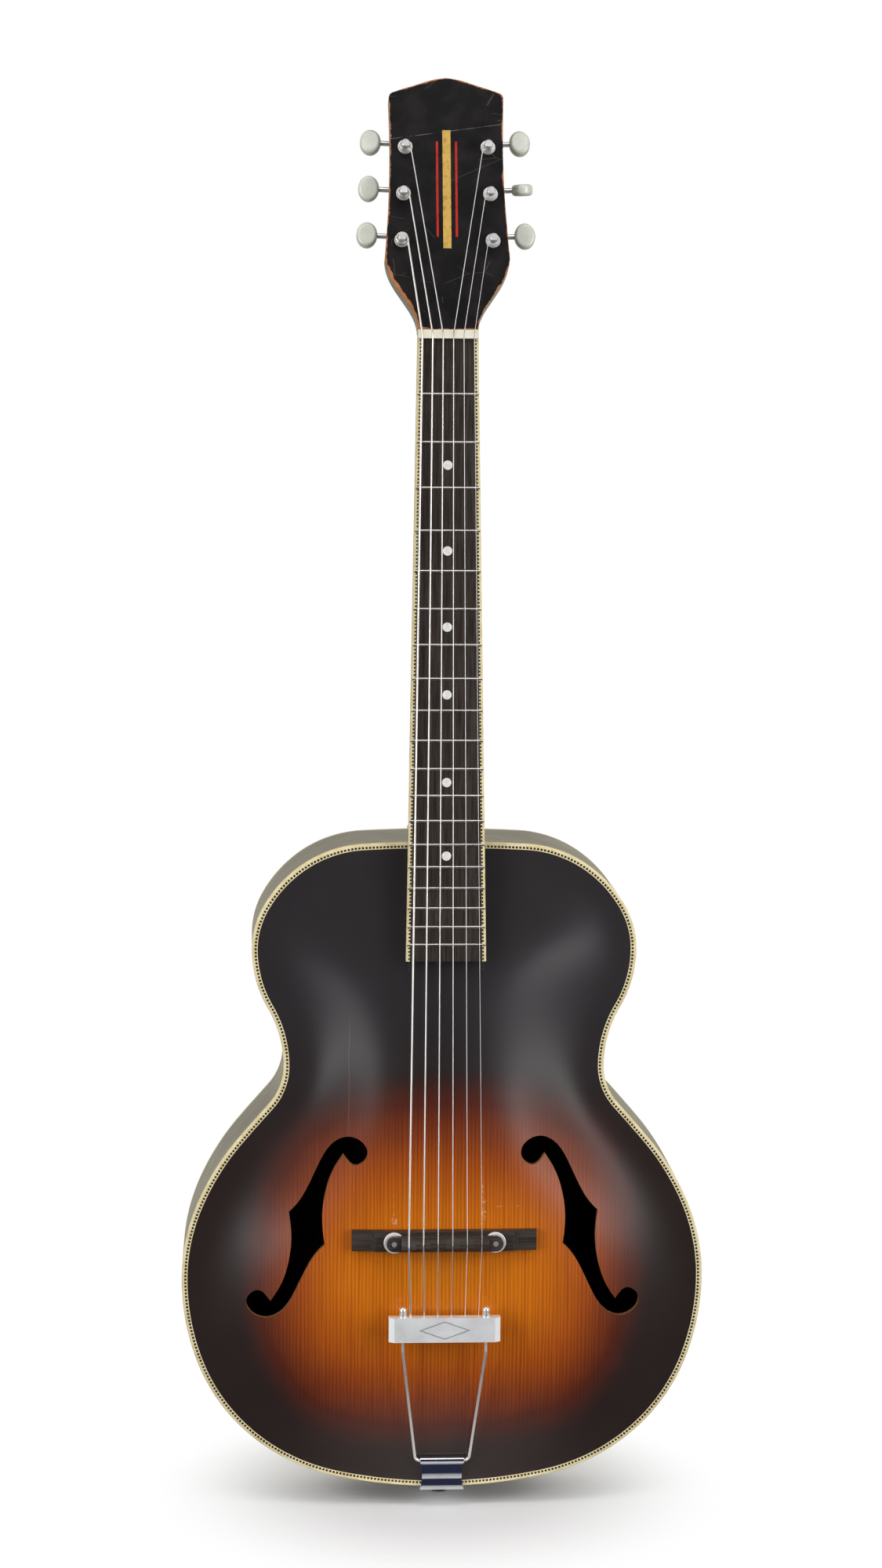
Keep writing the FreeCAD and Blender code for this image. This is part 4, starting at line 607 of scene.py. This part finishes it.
def smooth(mesh, angle):
    """Smooth normals, with edges sharper than an angle kept."""
    for face in mesh.polygons:
        face.use_smooth = True
    mesh.set_sharp_from_angle(angle=math.radians(angle))


def merged_copy(node):
    """Mesh data of a CAD node with its loose triangles joined."""
    shape = bmesh.new()
    shape.from_mesh(NODES[node].data)
    for layer in list(shape.loops.layers.float_vector.values()):
        shape.loops.layers.float_vector.remove(layer)
    bmesh.ops.remove_doubles(shape, verts=shape.verts, dist=2e-6)
    return shape


def mesh_from(shape, name, material, angle):
    """Smooth mesh from edited mesh data; its large faces keep their own normals up to their eased edges."""
    mesh = bpy.data.meshes.new(name)
    shape.to_mesh(mesh)
    shape.free()
    for attribute in [a for a in mesh.attributes if a.name == "custom_normal"]:
        mesh.attributes.remove(attribute)
    mesh.materials.append(material)
    smooth(mesh, angle)
    holder = add_object(name + "_holder", mesh)
    holder.modifiers.new("weighted", "WEIGHTED_NORMAL").keep_sharp = True
    return settled(holder, name)


def dress(node, ease, material=None, edit=None):
    """Copy of a CAD node with eased edges and smooth normals, standing for the node."""
    shape = merged_copy(node)
    if edit:
        edit(shape)
    if ease:
        bmesh.ops.dissolve_limit(shape, angle_limit=math.radians(1.0), verts=shape.verts, edges=shape.edges)
        sharp = [edge for edge in shape.edges
                 if len(edge.link_faces) == 2 and edge.calc_face_angle() > math.radians(EASE_ANGLE)]
        bmesh.ops.bevel(shape, geom=sharp, offset=ease * MM, segments=2, profile=0.5,
                        affect="EDGES", clamp_overlap=True)
    slot = SLOT_OF[node]
    mesh = mesh_from(shape, node + "_dressed", material or FINISHES[slot], EASE_ANGLE)
    piece = piece_of(node + "_dressed", mesh, BODY_OF[node])
    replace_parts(piece, node)


def natural_spline(points, samples):
    """Points along a smooth curve through complex points."""
    knots = np.array(points)
    lengths = np.sqrt(np.abs(np.diff(knots)))
    count = len(knots)
    system = np.eye(count)
    wanted = np.zeros(count, complex)
    for k in range(1, count - 1):
        before, after = lengths[k - 1], lengths[k]
        system[k, k - 1:k + 2] = before, 2 * (before + after), after
        wanted[k] = 6 * ((knots[k + 1] - knots[k]) / after - (knots[k] - knots[k - 1]) / before)
    bend = np.linalg.solve(system, wanted)
    curve = []
    for k, run in enumerate(lengths):
        t = np.arange(samples) / samples * run
        slope = (knots[k + 1] - knots[k]) / run - run * (2 * bend[k] + bend[k + 1]) / 6
        twist = (bend[k + 1] - bend[k]) / (6 * run)
        curve += list(knots[k] + slope * t + bend[k] / 2 * t ** 2 + twist * t ** 3)
    return curve


def arc_points(start, heading, end, samples):
    """Points of the arc that leaves start along heading, without its end."""
    chord = end - start
    half_turn = cmath.phase(chord / heading)
    if abs(half_turn) < 1e-6:
        return [start + chord * k / samples for k in range(samples)]
    return [start + chord * math.sin(half_turn * k / samples) / math.sin(half_turn)
            * cmath.exp(1j * half_turn * (k / samples - 1)) for k in range(samples)]


def rim_outline(count):
    """Evenly spaced points round the body's rim, anticlockwise from the lower end."""
    right = []
    stations = [(complex(x, z), cmath.exp(1j * math.radians(turn))) for x, z, turn in RIM_STATIONS]
    for (start, leave), (end, arrive) in zip(stations, stations[1:]):
        gap = end - start
        bend = 2 * (1 - (leave * arrive.conjugate()).real)
        along = (gap * (leave + arrive).conjugate()).real
        if bend > 1e-9:
            reach = (math.sqrt(along ** 2 + bend * abs(gap) ** 2) - along) / bend
        else:
            reach = abs(gap) ** 2 / (2 * along)
        joint = (start + leave * reach + end - arrive * reach) / 2
        right += arc_points(start, leave, joint, 60)
        back = arc_points(end, -arrive, joint, 60)
        right += [joint] + back[:0:-1]
    right.append(stations[-1][0])
    loop = np.array(right + [-p.conjugate() for p in right[-2:0:-1]])
    closed = np.append(loop, loop[0])
    travelled = np.concatenate([[0], np.cumsum(np.abs(np.diff(closed)))])
    wanted = np.arange(count) / count * travelled[-1]
    return np.interp(wanted, travelled, closed.real) + 1j * np.interp(wanted, travelled, closed.imag)


RIM = rim_outline(960)
RIM_INWARD = np.roll(RIM, -1) - np.roll(RIM, 1)
RIM_INWARD = 1j * RIM_INWARD / np.abs(RIM_INWARD)


def arch_share(points):
    """Share of the arch height at complex points of the body's plan, as the solids have it."""
    posts = rim_outline(240)
    step = abs(posts[1] - posts[0])
    pull = np.zeros(len(points))
    for post in posts:
        pull += step / (np.abs(points - post) ** 2 + 1e-6) ** 1.5
    t = np.clip(((pull / 2) ** -0.5 - ARCH_MARGIN) / ARCH_RUN, 0, 1)
    return t * t * (3 - 2 * t)


def inside(points, loop):
    """Which complex points lie inside a closed loop."""
    loop = np.asarray(loop)
    result = np.zeros(len(points), bool)
    for a, b in zip(loop, np.roll(loop, -1)):
        crosses = (a.imag > points.imag) != (b.imag > points.imag)
        if a.imag != b.imag:
            left = points.real < a.real + (points.imag - a.imag) * (b.real - a.real) / (b.imag - a.imag)
            result ^= crosses & left
    return result


def edge_distance(points, loop):
    """Distance of complex points from a closed loop."""
    loop = np.asarray(loop)
    least = np.full(len(points), np.inf)
    for a, b in zip(loop, np.roll(loop, -1)):
        run = b - a
        t = np.clip(((points - a) * run.conjugate()).real / abs(run) ** 2, 0, 1)
        least = np.minimum(least, np.abs(points - a - t * run))
    return least


def raised(plan, depths):
    """Points in metres over complex points of a plan, each at its depth."""
    return [(p.real * MM, y * MM, p.imag * MM) for p, y in zip(plan, depths)]


def closed_mesh(name, verts, faces):
    """Mesh with every face turned outward and no loose points."""
    mesh = bpy.data.meshes.new(name)
    mesh.from_pydata(verts, [], faces)
    shape = bmesh.new()
    shape.from_mesh(mesh)
    bmesh.ops.recalc_face_normals(shape, faces=shape.faces)
    loose = [vert for vert in shape.verts if not vert.link_faces]
    bmesh.ops.delete(shape, geom=loose, context="VERTS")
    shape.to_mesh(mesh)
    shape.free()
    return mesh


def plate(name, outline, holes, step, front, back, materials, edge_name=None):
    """Closed plate over a plan with holes; front and back give the depth at complex points."""
    corner = outline.real.min() + 1j * outline.imag.min()
    columns = int(np.ptp(outline.real) / step) + 1
    rows = int(np.ptp(outline.imag) / step) + 1
    grid = np.array([corner + step * (c + 0.5 * (r % 2) + 1j * r)
                     for r in range(rows) for c in range(columns)])
    grid = grid[inside(grid, outline) & (edge_distance(grid, outline) > step * 0.55)]
    for hole in holes:
        grid = grid[~inside(grid, hole) & (edge_distance(grid, hole) > step * 0.55)]
    points, edges = [], []
    for loop in [outline] + holes:
        first = len(points)
        points += list(loop)
        edges += [(first + k, first + (k + 1) % len(loop)) for k in range(len(loop))]
    flat = [Vector((p.real, p.imag)) for p in points + list(grid)]
    made, _, faces, origins, _, _ = delaunay_2d_cdt(flat, edges, [], 0, 1e-7)
    plan = np.array([complex(p.x, p.y) for p in made])
    middles = np.array([plan[list(face)].mean() for face in faces])
    kept = inside(middles, outline)
    for hole in holes:
        kept &= ~inside(middles, hole)
    faces = [face for face, keep in zip(faces, kept) if keep]
    count = len(plan)
    verts = raised(plan, front(plan)) + raised(plan, back(plan))
    place = {source: index for index, sources in enumerate(origins) for source in sources}
    walls = []
    for a, b in edges:
        a, b = place[a], place[b]
        walls.append((a, b, b + count, a + count))
    shells = [tuple(face) for face in faces] + [tuple(k + count for k in reversed(face)) for face in faces]
    mesh = closed_mesh(name, verts, shells + walls)
    for material in materials:
        mesh.materials.append(material)
    # Only the walls have four corners, and they take the last material
    for face in mesh.polygons:
        if len(face.vertices) == 4:
            face.material_index = len(materials) - 1
    smooth(mesh, 35)
    if edge_name:
        layer = mesh.attributes.new(edge_name, "FLOAT", "POINT")
        plan = np.array([complex(v.co.x, v.co.z) / MM for v in mesh.vertices])
        layer.data.foreach_set("value", edge_distance(plan, outline).astype(np.float32))
    return mesh


def rim_sweep(name, profile, material):
    """Ring along the rim with one closed profile of (inset, depth)."""
    count = len(RIM)
    verts, faces = [], []
    for inset, depth in profile:
        verts += raised(RIM + RIM_INWARD * inset, [depth] * count)
    for k in range(len(profile)):
        a, b = k * count, (k + 1) % len(profile) * count
        for n in range(count):
            m = (n + 1) % count
            faces.append((a + n, a + m, b + m, b + n))
    mesh = closed_mesh(name, verts, faces)
    mesh.materials.append(material)
    smooth(mesh, 35)
    return mesh


# Inlaid squares grown with geometry nodes

# Their spacing, size and place in millimetres
INLAY_PITCH = 2.57
INLAY_SIDE = 1.55
INLAY_DEPTH = 0.5
INLAY_PROUD = 0.06
RIM_INLAY_INSET = 2.75
BOARD_INLAY_INSET = 2.05
BOARD_INLAY_WIDTH = 1.1
BOARD_INLAY_END = 1.3


def inlay_tree():
    """Row of small blocks along a line of edges, each turned to the line."""
    tree = bpy.data.node_groups.new("inlay_row", "GeometryNodeTree")
    tree.is_modifier = True
    for label, kind in (("Line", "Geometry"), ("Count", "Int"), ("Block", "Vector"), ("Finish", "Material")):
        tree.interface.new_socket(label, in_out="INPUT", socket_type="NodeSocket" + kind)
    tree.interface.new_socket("Row", in_out="OUTPUT", socket_type="NodeSocketGeometry")
    given = tree.nodes.new("NodeGroupInput").outputs
    heading = tree.nodes.new("GeometryNodeInputTangent").outputs[0]
    curve = put("GeometryNodeMeshToCurve", {"Mesh": given["Line"]}).outputs[0]
    even = put("GeometryNodeResampleCurve", {"Curve": curve, "Count": given["Count"]}).outputs[0]
    block = put("GeometryNodeMeshCube", {"Size": given["Block"]}).outputs["Mesh"]
    turn = put("FunctionNodeAlignRotationToVector", {"Vector": heading}, axis="X", pivot_axis="Y").outputs[0]
    spread = put("GeometryNodeInstanceOnPoints", {"Points": even, "Instance": block, "Rotation": turn})
    real = put("GeometryNodeRealizeInstances", {0: spread.outputs[0]}).outputs[0]
    coat = put("GeometryNodeSetMaterial", {"Geometry": real, "Material": given["Finish"]}).outputs[0]
    join(coat, tree.nodes.new("NodeGroupOutput").inputs["Row"])
    return tree


INLAY_ROW = inlay_tree()


def inlaid(name, verts, edges, count, block):
    """Mesh of a row of black blocks along a line of edges."""
    base = bpy.data.meshes.new(name + "_line")
    base.from_pydata(verts, edges, [])
    holder = add_object(name + "_line", base)
    modifier = holder.modifiers.new("grow", "NODES")
    modifier.node_group = INLAY_ROW
    sockets = {item.name: item.identifier for item in INLAY_ROW.interface.items_tree}
    modifier[sockets["Count"]] = count
    modifier[sockets["Block"]] = Vector(block) * MM
    modifier[sockets["Finish"]] = INLAY_BLACK
    return settled(holder, name)


def rim_inlay():
    """Row of black squares in the front trim of the body."""
    line = RIM + RIM_INWARD * RIM_INLAY_INSET
    verts = raised(line, [FRONT + INLAY_DEPTH / 2 - INLAY_PROUD] * len(line))
    edges = [(k, (k + 1) % len(line)) for k in range(len(line))]
    length = np.abs(np.diff(np.append(line, line[0]))).sum()
    block = (INLAY_SIDE, INLAY_DEPTH, INLAY_SIDE)
    return inlaid("rim_inlay", verts, edges, round(length / INLAY_PITCH), block)


def board_inlay(side):
    """Row of black squares along the inner side of one trim of the fretboard."""
    ends = [complex(side * (BOARD_END_WIDTH / 2 - BOARD_INLAY_INSET), BOARD_END_Z + BOARD_INLAY_END),
            complex(side * (NUT_WIDTH / 2 - BOARD_INLAY_INSET), NUT_Z - BOARD_INLAY_END)]
    verts = raised(ends, [INLAY_DEPTH / 2 - INLAY_PROUD] * 2)
    count = round((NUT_Z - BOARD_END_Z) / INLAY_PITCH)
    mesh = inlaid("board_inlay", verts, [(0, 1)], count, (INLAY_SIDE, INLAY_DEPTH, BOARD_INLAY_WIDTH))
    mesh.transform(NECK_PLACE)
    return mesh


# Body

# Rounded outer edge of the trims in millimetres: inset and depth
TRIM_ROUND = [(0.9, 0.0), (0.42, 0.12), (0.12, 0.42), (0.0, 0.9)]


def outer_front(points):
    """Depth of the top's outer face."""
    return FRONT - ARCH_HEIGHT * arch_share(points)


def inner_front(points):
    """Depth of the top's inner face, flat along the rim."""
    rise = ARCH_HEIGHT + PLATE_EDGE + HOLLOW_START - PLATE_THICKNESS
    return np.minimum(FRONT + PLATE_EDGE + HOLLOW_START - rise * arch_share(points), FRONT + PLATE_EDGE)


def fhole_loop(side):
    """Closed loop of one sound hole."""
    half = natural_spline(FHOLE_HOOK, 9) + natural_spline(FHOLE_STEM, 9)
    loop = np.array(half + [-p for p in half]) + FHOLE_MIDDLE
    return loop if side > 0 else -loop.conjugate()[::-1]


def make_body():
    """Plates, sides, trims and inlaid squares of the body and the fretboard."""
    maple = FINISHES["dark_lacquered_maple"]
    plan = RIM[::2] + RIM_INWARD[::2] * BINDING_WIDTH
    top = plate("top_plate", plan, [fhole_loop(1), fhole_loop(-1)], 3.4, outer_front, inner_front,
                [FINISHES["spruce_top"], HOLE_EDGE])
    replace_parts(piece_of("top_plate", top, "body"), "soundboard")
    under = plate("back_plate", plan, [], 4.0, lambda p: -outer_front(p), lambda p: -inner_front(p), [maple])
    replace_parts(piece_of("back_plate", under, "body"), "back")
    front, back = FRONT + PLATE_EDGE, BACK - PLATE_EDGE
    profile = [(0.0, front), (0.0, back), (RIB_THICKNESS, back), (RIB_THICKNESS, front)]
    sides = rim_sweep("rib_band", profile, maple)
    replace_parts(piece_of("rib_band", sides, "body"), "ribs")
    trims = []
    for name, edge, away in (("front_trim", FRONT, 1), ("back_trim", BACK, -1)):
        profile = [(BINDING_WIDTH, edge)] + [(inset, edge + away * depth) for inset, depth in TRIM_ROUND]
        profile += [(0.0, edge + away * PLATE_EDGE), (BINDING_WIDTH, edge + away * PLATE_EDGE)]
        trim = rim_sweep(name, profile, FINISHES["cream_binding"])
        trims.append(piece_of(name, trim, "body"))
    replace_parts(trims[0], "body_bindings")
    piece_of("rim_inlay", rim_inlay(), "body")
    for side, name in ((-1, "board_inlay_bass"), (1, "board_inlay_treble")):
        piece_of(name, board_inlay(side), "body")


# Headstock face

def head_outline():
    """Closed loop of the headstock's face in its own plan, anticlockwise."""
    nut = NUT_WIDTH / 2
    corner = complex(HEAD_TOP_HALF, HEAD_LENGTH - HEAD_CORNER_DROP)
    flare = [complex(nut + (HEAD_WIDE.real - nut) * a, HEAD_WIDE.imag * b) for a, b in HEAD_FLARE]
    crown = [complex(HEAD_TOP_HALF * a, HEAD_LENGTH - HEAD_CORNER_DROP * b) for a, b in HEAD_CROWN]
    along = (crown[0] - corner) / abs(crown[0] - corner)
    side_end, top_end = corner - 1j * HEAD_CORNER_ROUND, corner + along * HEAD_CORNER_ROUND
    right = natural_spline(flare, 12) + natural_spline([flare[-1], HEAD_NARROW, side_end], 30)
    right += arc_points(side_end, 1j, top_end, 6) + natural_spline([top_end] + crown, 12)
    right.append(complex(0, HEAD_LENGTH))
    return np.array(right + [-p.conjugate() for p in right[-2::-1]])


def make_head_face():
    """Black face of the headstock with the holes of the posts, and the distance from its edge."""
    holes = []
    for post in POSTS:
        ring = np.exp(-2j * math.pi * np.arange(24) / 24) * POST_HOLE
        holes += [post + ring, -post.conjugate() + ring]
    mesh = plate("head_face", head_outline(), holes, 1.5, lambda p: np.zeros(len(p)),
                 lambda p: np.full(len(p), VENEER), [FINISHES["black_veneer"]], "edge_mm")
    mesh.transform(HEAD_PLACE)
    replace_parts(piece_of("head_face", mesh, "body"), "headstock_veneer")


# Strings

# Heights in metres: the strings' place on the saddle, and the upper end of the run that follows it
SADDLE_Z = 0.1886
NUT_REACH_Z = 0.837


def make_strings():
    """Each string in two lengths that follow the saddle where they lie on it."""
    for number in range(1, 7):
        node = "string_%d" % number
        low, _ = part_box(node)
        for keep_low, name in ((True, node + "_tail"), (False, node + "_run")):
            shape = merged_copy(node)
            cut = bmesh.ops.bisect_plane(shape, geom=shape.verts[:] + shape.edges[:] + shape.faces[:],
                                         plane_co=(0, 0, SADDLE_Z), plane_no=(0, 0, 1),
                                         clear_outer=keep_low, clear_inner=not keep_low)
            rim = [item for item in cut["geom_cut"] if isinstance(item, bmesh.types.BMEdge)]
            bmesh.ops.holes_fill(shape, edges=rim, sides=0)
            piece = add_object(name, mesh_from(shape, name, FINISHES[SLOT_OF[node]], 40))
            if keep_low:
                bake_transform(piece, "body", "saddle", start=(0, 0, low[2] + 0.006), end=(0, 0, SADDLE_Z - 0.004))
                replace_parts(piece, node)
            else:
                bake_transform(piece, "saddle", "body", start=(0, 0, SADDLE_Z + 0.004), end=(0, 0, NUT_REACH_Z))


# Hardware and the rest of the CAD solids

# How far the edges of each solid are eased, in millimetres
EASED = {"neck": 0.0, "fretboard_bindings": 0.25, "nut": 0.35, "bridge_base": 0.7, "bridge_saddle": 0.3,
         "thumbwheel_treble": 0.15, "thumbwheel_bass": 0.15, "tailpiece_bar": 0.45, "tailpiece_hanger": 0.3,
         "tuner_strips": 0.2, "end_pin": 0.0, "tailpiece_frame": 0.0, "tailpiece_nuts": 0.0,
         "post_bushings": 0.25, "tuner_strip_screws": 0.0, "hanger_screws": 0.0, "bridge_studs": 0.1,
         "frets": 0.0, "position_dots": 0.0}
TUNER_EASED = {"string_post_%d": 0.1, "post_gear_%d": 0.08, "tuner_worm_%d": 0.0, "tuner_button_%d": 0.0}
SATIN_PARTS = {"tailpiece_bar": STAMPED_NICKEL, "thumbwheel_treble": SATIN_NICKEL,
               "thumbwheel_bass": SATIN_NICKEL}

# End of the neck's tenon in millimetres: half its width, its front, its heights, and where it lies flush
TENON_HALF = 16.5
TENON_FRONT = -9.0
TENON_LOW = 476.5
TENON_HIGH = 478.5
TENON_FLUSH = 475.9

# Swells of the hanger: heights of their ends in millimetres, steps, and the slope's start and turn in degrees
SWELL_ENDS = [18.7, 7.4, -1.4]
SWELL_STEPS = 24
SWELL_SLOPE = 26.0
SWELL_TURN = 34.0
SWELL_ROOT = 0.3


def sink_tenon(shape):
    """Lay the end of the tenon, where it shows behind the heel, flush with the ribs."""
    for vert in shape.verts:
        x, y, z = vert.co / MM
        if abs(x) < TENON_HALF and y > TENON_FRONT and TENON_LOW < z < TENON_HIGH:
            vert.co.z = TENON_FLUSH * MM


def make_hardware():
    """Dressed copies of the solids that show, and finishes on those that stay as they are."""
    for node, ease in EASED.items():
        dress(node, ease, SATIN_PARTS.get(node), sink_tenon if node == "neck" else None)
    for number in range(1, 7):
        for node, ease in TUNER_EASED.items():
            dress(node % number, ease)
    for node in ("fretboard", "neck_block", "end_block", "linings", "tone_bars"):
        NODES[node].data.materials.clear()
        NODES[node].data.materials.append(FINISHES[SLOT_OF[node]])


def make_hanger_face():
    """Two rolled swells on the hanger's face, each turning from upward to slightly downward."""
    rows = []
    for high, low in zip(SWELL_ENDS, SWELL_ENDS[1:]):
        depth = HANGER_FACE_Y
        for k in range(SWELL_STEPS + 1):
            rows.append((high + (low - high) * k / SWELL_STEPS, depth))
            slope = math.radians(SWELL_SLOPE - SWELL_TURN * k / SWELL_STEPS)
            depth -= math.tan(slope) * (high - low) / SWELL_STEPS
        rows.append((low + 0.02, HANGER_FACE_Y))
    verts, faces = [], []
    root = HANGER_FACE_Y + SWELL_ROOT
    for height, depth in rows:
        half = HANGER_WAIST.real + HANGER_FLARE.real * ((height - HANGER_WAIST.imag) / HANGER_FLARE.imag) ** 2
        corners = [complex(x, height) for x in (-half, -half, half, half)]
        verts += raised(corners, [root, depth, depth, root])
    for k in range(len(rows) - 1):
        for a, b in ((0, 1), (1, 2), (2, 3), (3, 0)):
            faces.append((4 * k + a, 4 * k + b, 4 * k + 4 + b, 4 * k + 4 + a))
    last = 4 * len(rows) - 4
    faces += [(0, 1, 2, 3), (last + 3, last + 2, last + 1, last)]
    mesh = closed_mesh("hanger_swells", verts, faces)
    mesh.materials.append(FINISHES["chrome_plate"])
    smooth(mesh, 30)
    piece_of("hanger_swells", mesh, "body")


# Studio

# Floor in metres: its radius, its gap under the part, and the distances between which it fades out
FLOOR_RADIUS = 0.5
FLOOR_GAP = 0.0005
FLOOR_FADE = (0.05, 0.22)
FLOOR_GREY = (0.92, 0.92, 0.92, 1)
DIM_ROOM = (0.024, 0.028, 0.055, 1)
PALE_WALL = (0.43, 0.41, 0.33, 1)
WHITE = (1, 1, 1, 1)

# Lamps: place and aim, width and height in metres, power in watts, lean in degrees
LAMPS = {
    "left_strip": ((-1.04, -2.22, -0.2), (0, -0.05, 0.36), 0.2, 0.62, 1.8, -58),
    "right_strip": ((1.13, -2.2, 0.0), (0, -0.05, 0.36), 0.2, 0.9, 2.4, 58),
    "left_side": ((-2.0, -1.55, 0.9), (0, 0, 0.45), 1.2, 2.0, 46, 0),
    "right_side": ((2.0, -1.55, 0.9), (0, 0, 0.45), 1.2, 2.0, 46, 0),
    "overhead": ((0, -1.2, 2.7), (0, 0, 0.45), 2.2, 1.0, 25, 0),
}

# Camera of the photo: place in metres, turns in degrees, focal length as a share of the picture's height
CAMERA_PLACE = (-0.1379, -2.540, 0.8094)
CAMERA_YAW = 3.08
CAMERA_PITCH = 6.64
CAMERA_ROLL = 0.34
FOCAL_SHARE = 4492.4 / 2000


def make_floor():
    """Pale floor that fades out into the white background."""
    shape = bmesh.new()
    bmesh.ops.create_circle(shape, cap_ends=True, segments=64, radius=FLOOR_RADIUS)
    for vert in shape.verts:
        vert.co.z = CAD_BOX[0][2] - FLOOR_GAP
    mesh = bpy.data.meshes.new("floor")
    shape.to_mesh(mesh)
    shape.free()
    floor = add_object("floor", mesh)
    material, _, place = finish("pale_floor", Roughness=0.9, Base_Color=FLOOR_GREY)
    nodes = material.node_tree.nodes
    away = put("VectorMath", {0: place}, operation="LENGTH").outputs["Value"]
    grey = nodes["Principled BSDF"].outputs[0]
    clear = nodes.new("ShaderNodeBsdfTransparent").outputs[0]
    blend = put("MixShader", {0: span(away, *FLOOR_FADE), 1: grey, 2: clear})
    join(blend.outputs[0], nodes["Material Output"].inputs["Surface"])
    mesh.materials.append(material)


def make_world():
    """White studio: bright behind the guitar, a dim room in front of it."""
    world = bpy.data.worlds.new("studio")
    bpy.context.scene.world = world
    world.use_nodes = True
    nodes = world.node_tree.nodes
    back = nodes["Background"].inputs
    toward = parts_of(nodes.new("ShaderNodeTexCoord").outputs["Generated"])
    room = mixed(span(toward[1], -0.2, 0.35), DIM_ROOM, PALE_WALL)
    seen = nodes.new("ShaderNodeLightPath").outputs["Is Camera Ray"]
    join(mixed(seen, room, WHITE), back["Color"])
    back["Strength"].default_value = 1.0


def lamp(name, place, aim, width, height, power, lean):
    """Soft rectangular lamp, leaning sideways by an angle."""
    data = bpy.data.lights.new(name, "AREA")
    data.shape = "RECTANGLE"
    data.size, data.size_y = width, height
    data.energy = power
    made = add_object(name, data)
    made.location = place
    turn = (Vector(aim) - Vector(place)).to_track_quat("-Z", "Y") @ Quaternion((0, 0, 1), math.radians(lean))
    made.rotation_euler = turn.to_euler()


def make_studio():
    """Floor, room and lamps."""
    make_floor()
    make_world()
    for name, values in LAMPS.items():
        lamp(name, *values)


def make_camera():
    """Camera at the place and angle that the photo was taken from."""
    yaw, pitch, roll = (math.radians(turn) for turn in (CAMERA_YAW, CAMERA_PITCH, CAMERA_ROLL))
    ahead = Vector((math.sin(yaw) * math.cos(pitch), math.cos(yaw) * math.cos(pitch), -math.sin(pitch)))
    level = Vector((math.cos(yaw), -math.sin(yaw), 0))
    rise = level.cross(ahead)
    right = level * math.cos(roll) + rise * math.sin(roll)
    up = rise * math.cos(roll) - level * math.sin(roll)
    data = bpy.data.cameras.new("camera")
    data.sensor_fit = "VERTICAL"
    data.sensor_height = 24.0
    data.lens = FOCAL_SHARE * data.sensor_height
    data.clip_end = 50.0
    camera = add_object("camera", data)
    turned = Matrix((right, up, -ahead)).transposed().to_4x4()
    camera.matrix_world = Matrix.Translation(CAMERA_PLACE) @ turned
    bpy.context.scene.camera = camera


make_body()
make_head_face()
make_strings()
make_hardware()
make_hanger_face()
make_studio()
make_camera()
bpy.context.scene.view_settings.view_transform = "Standard"
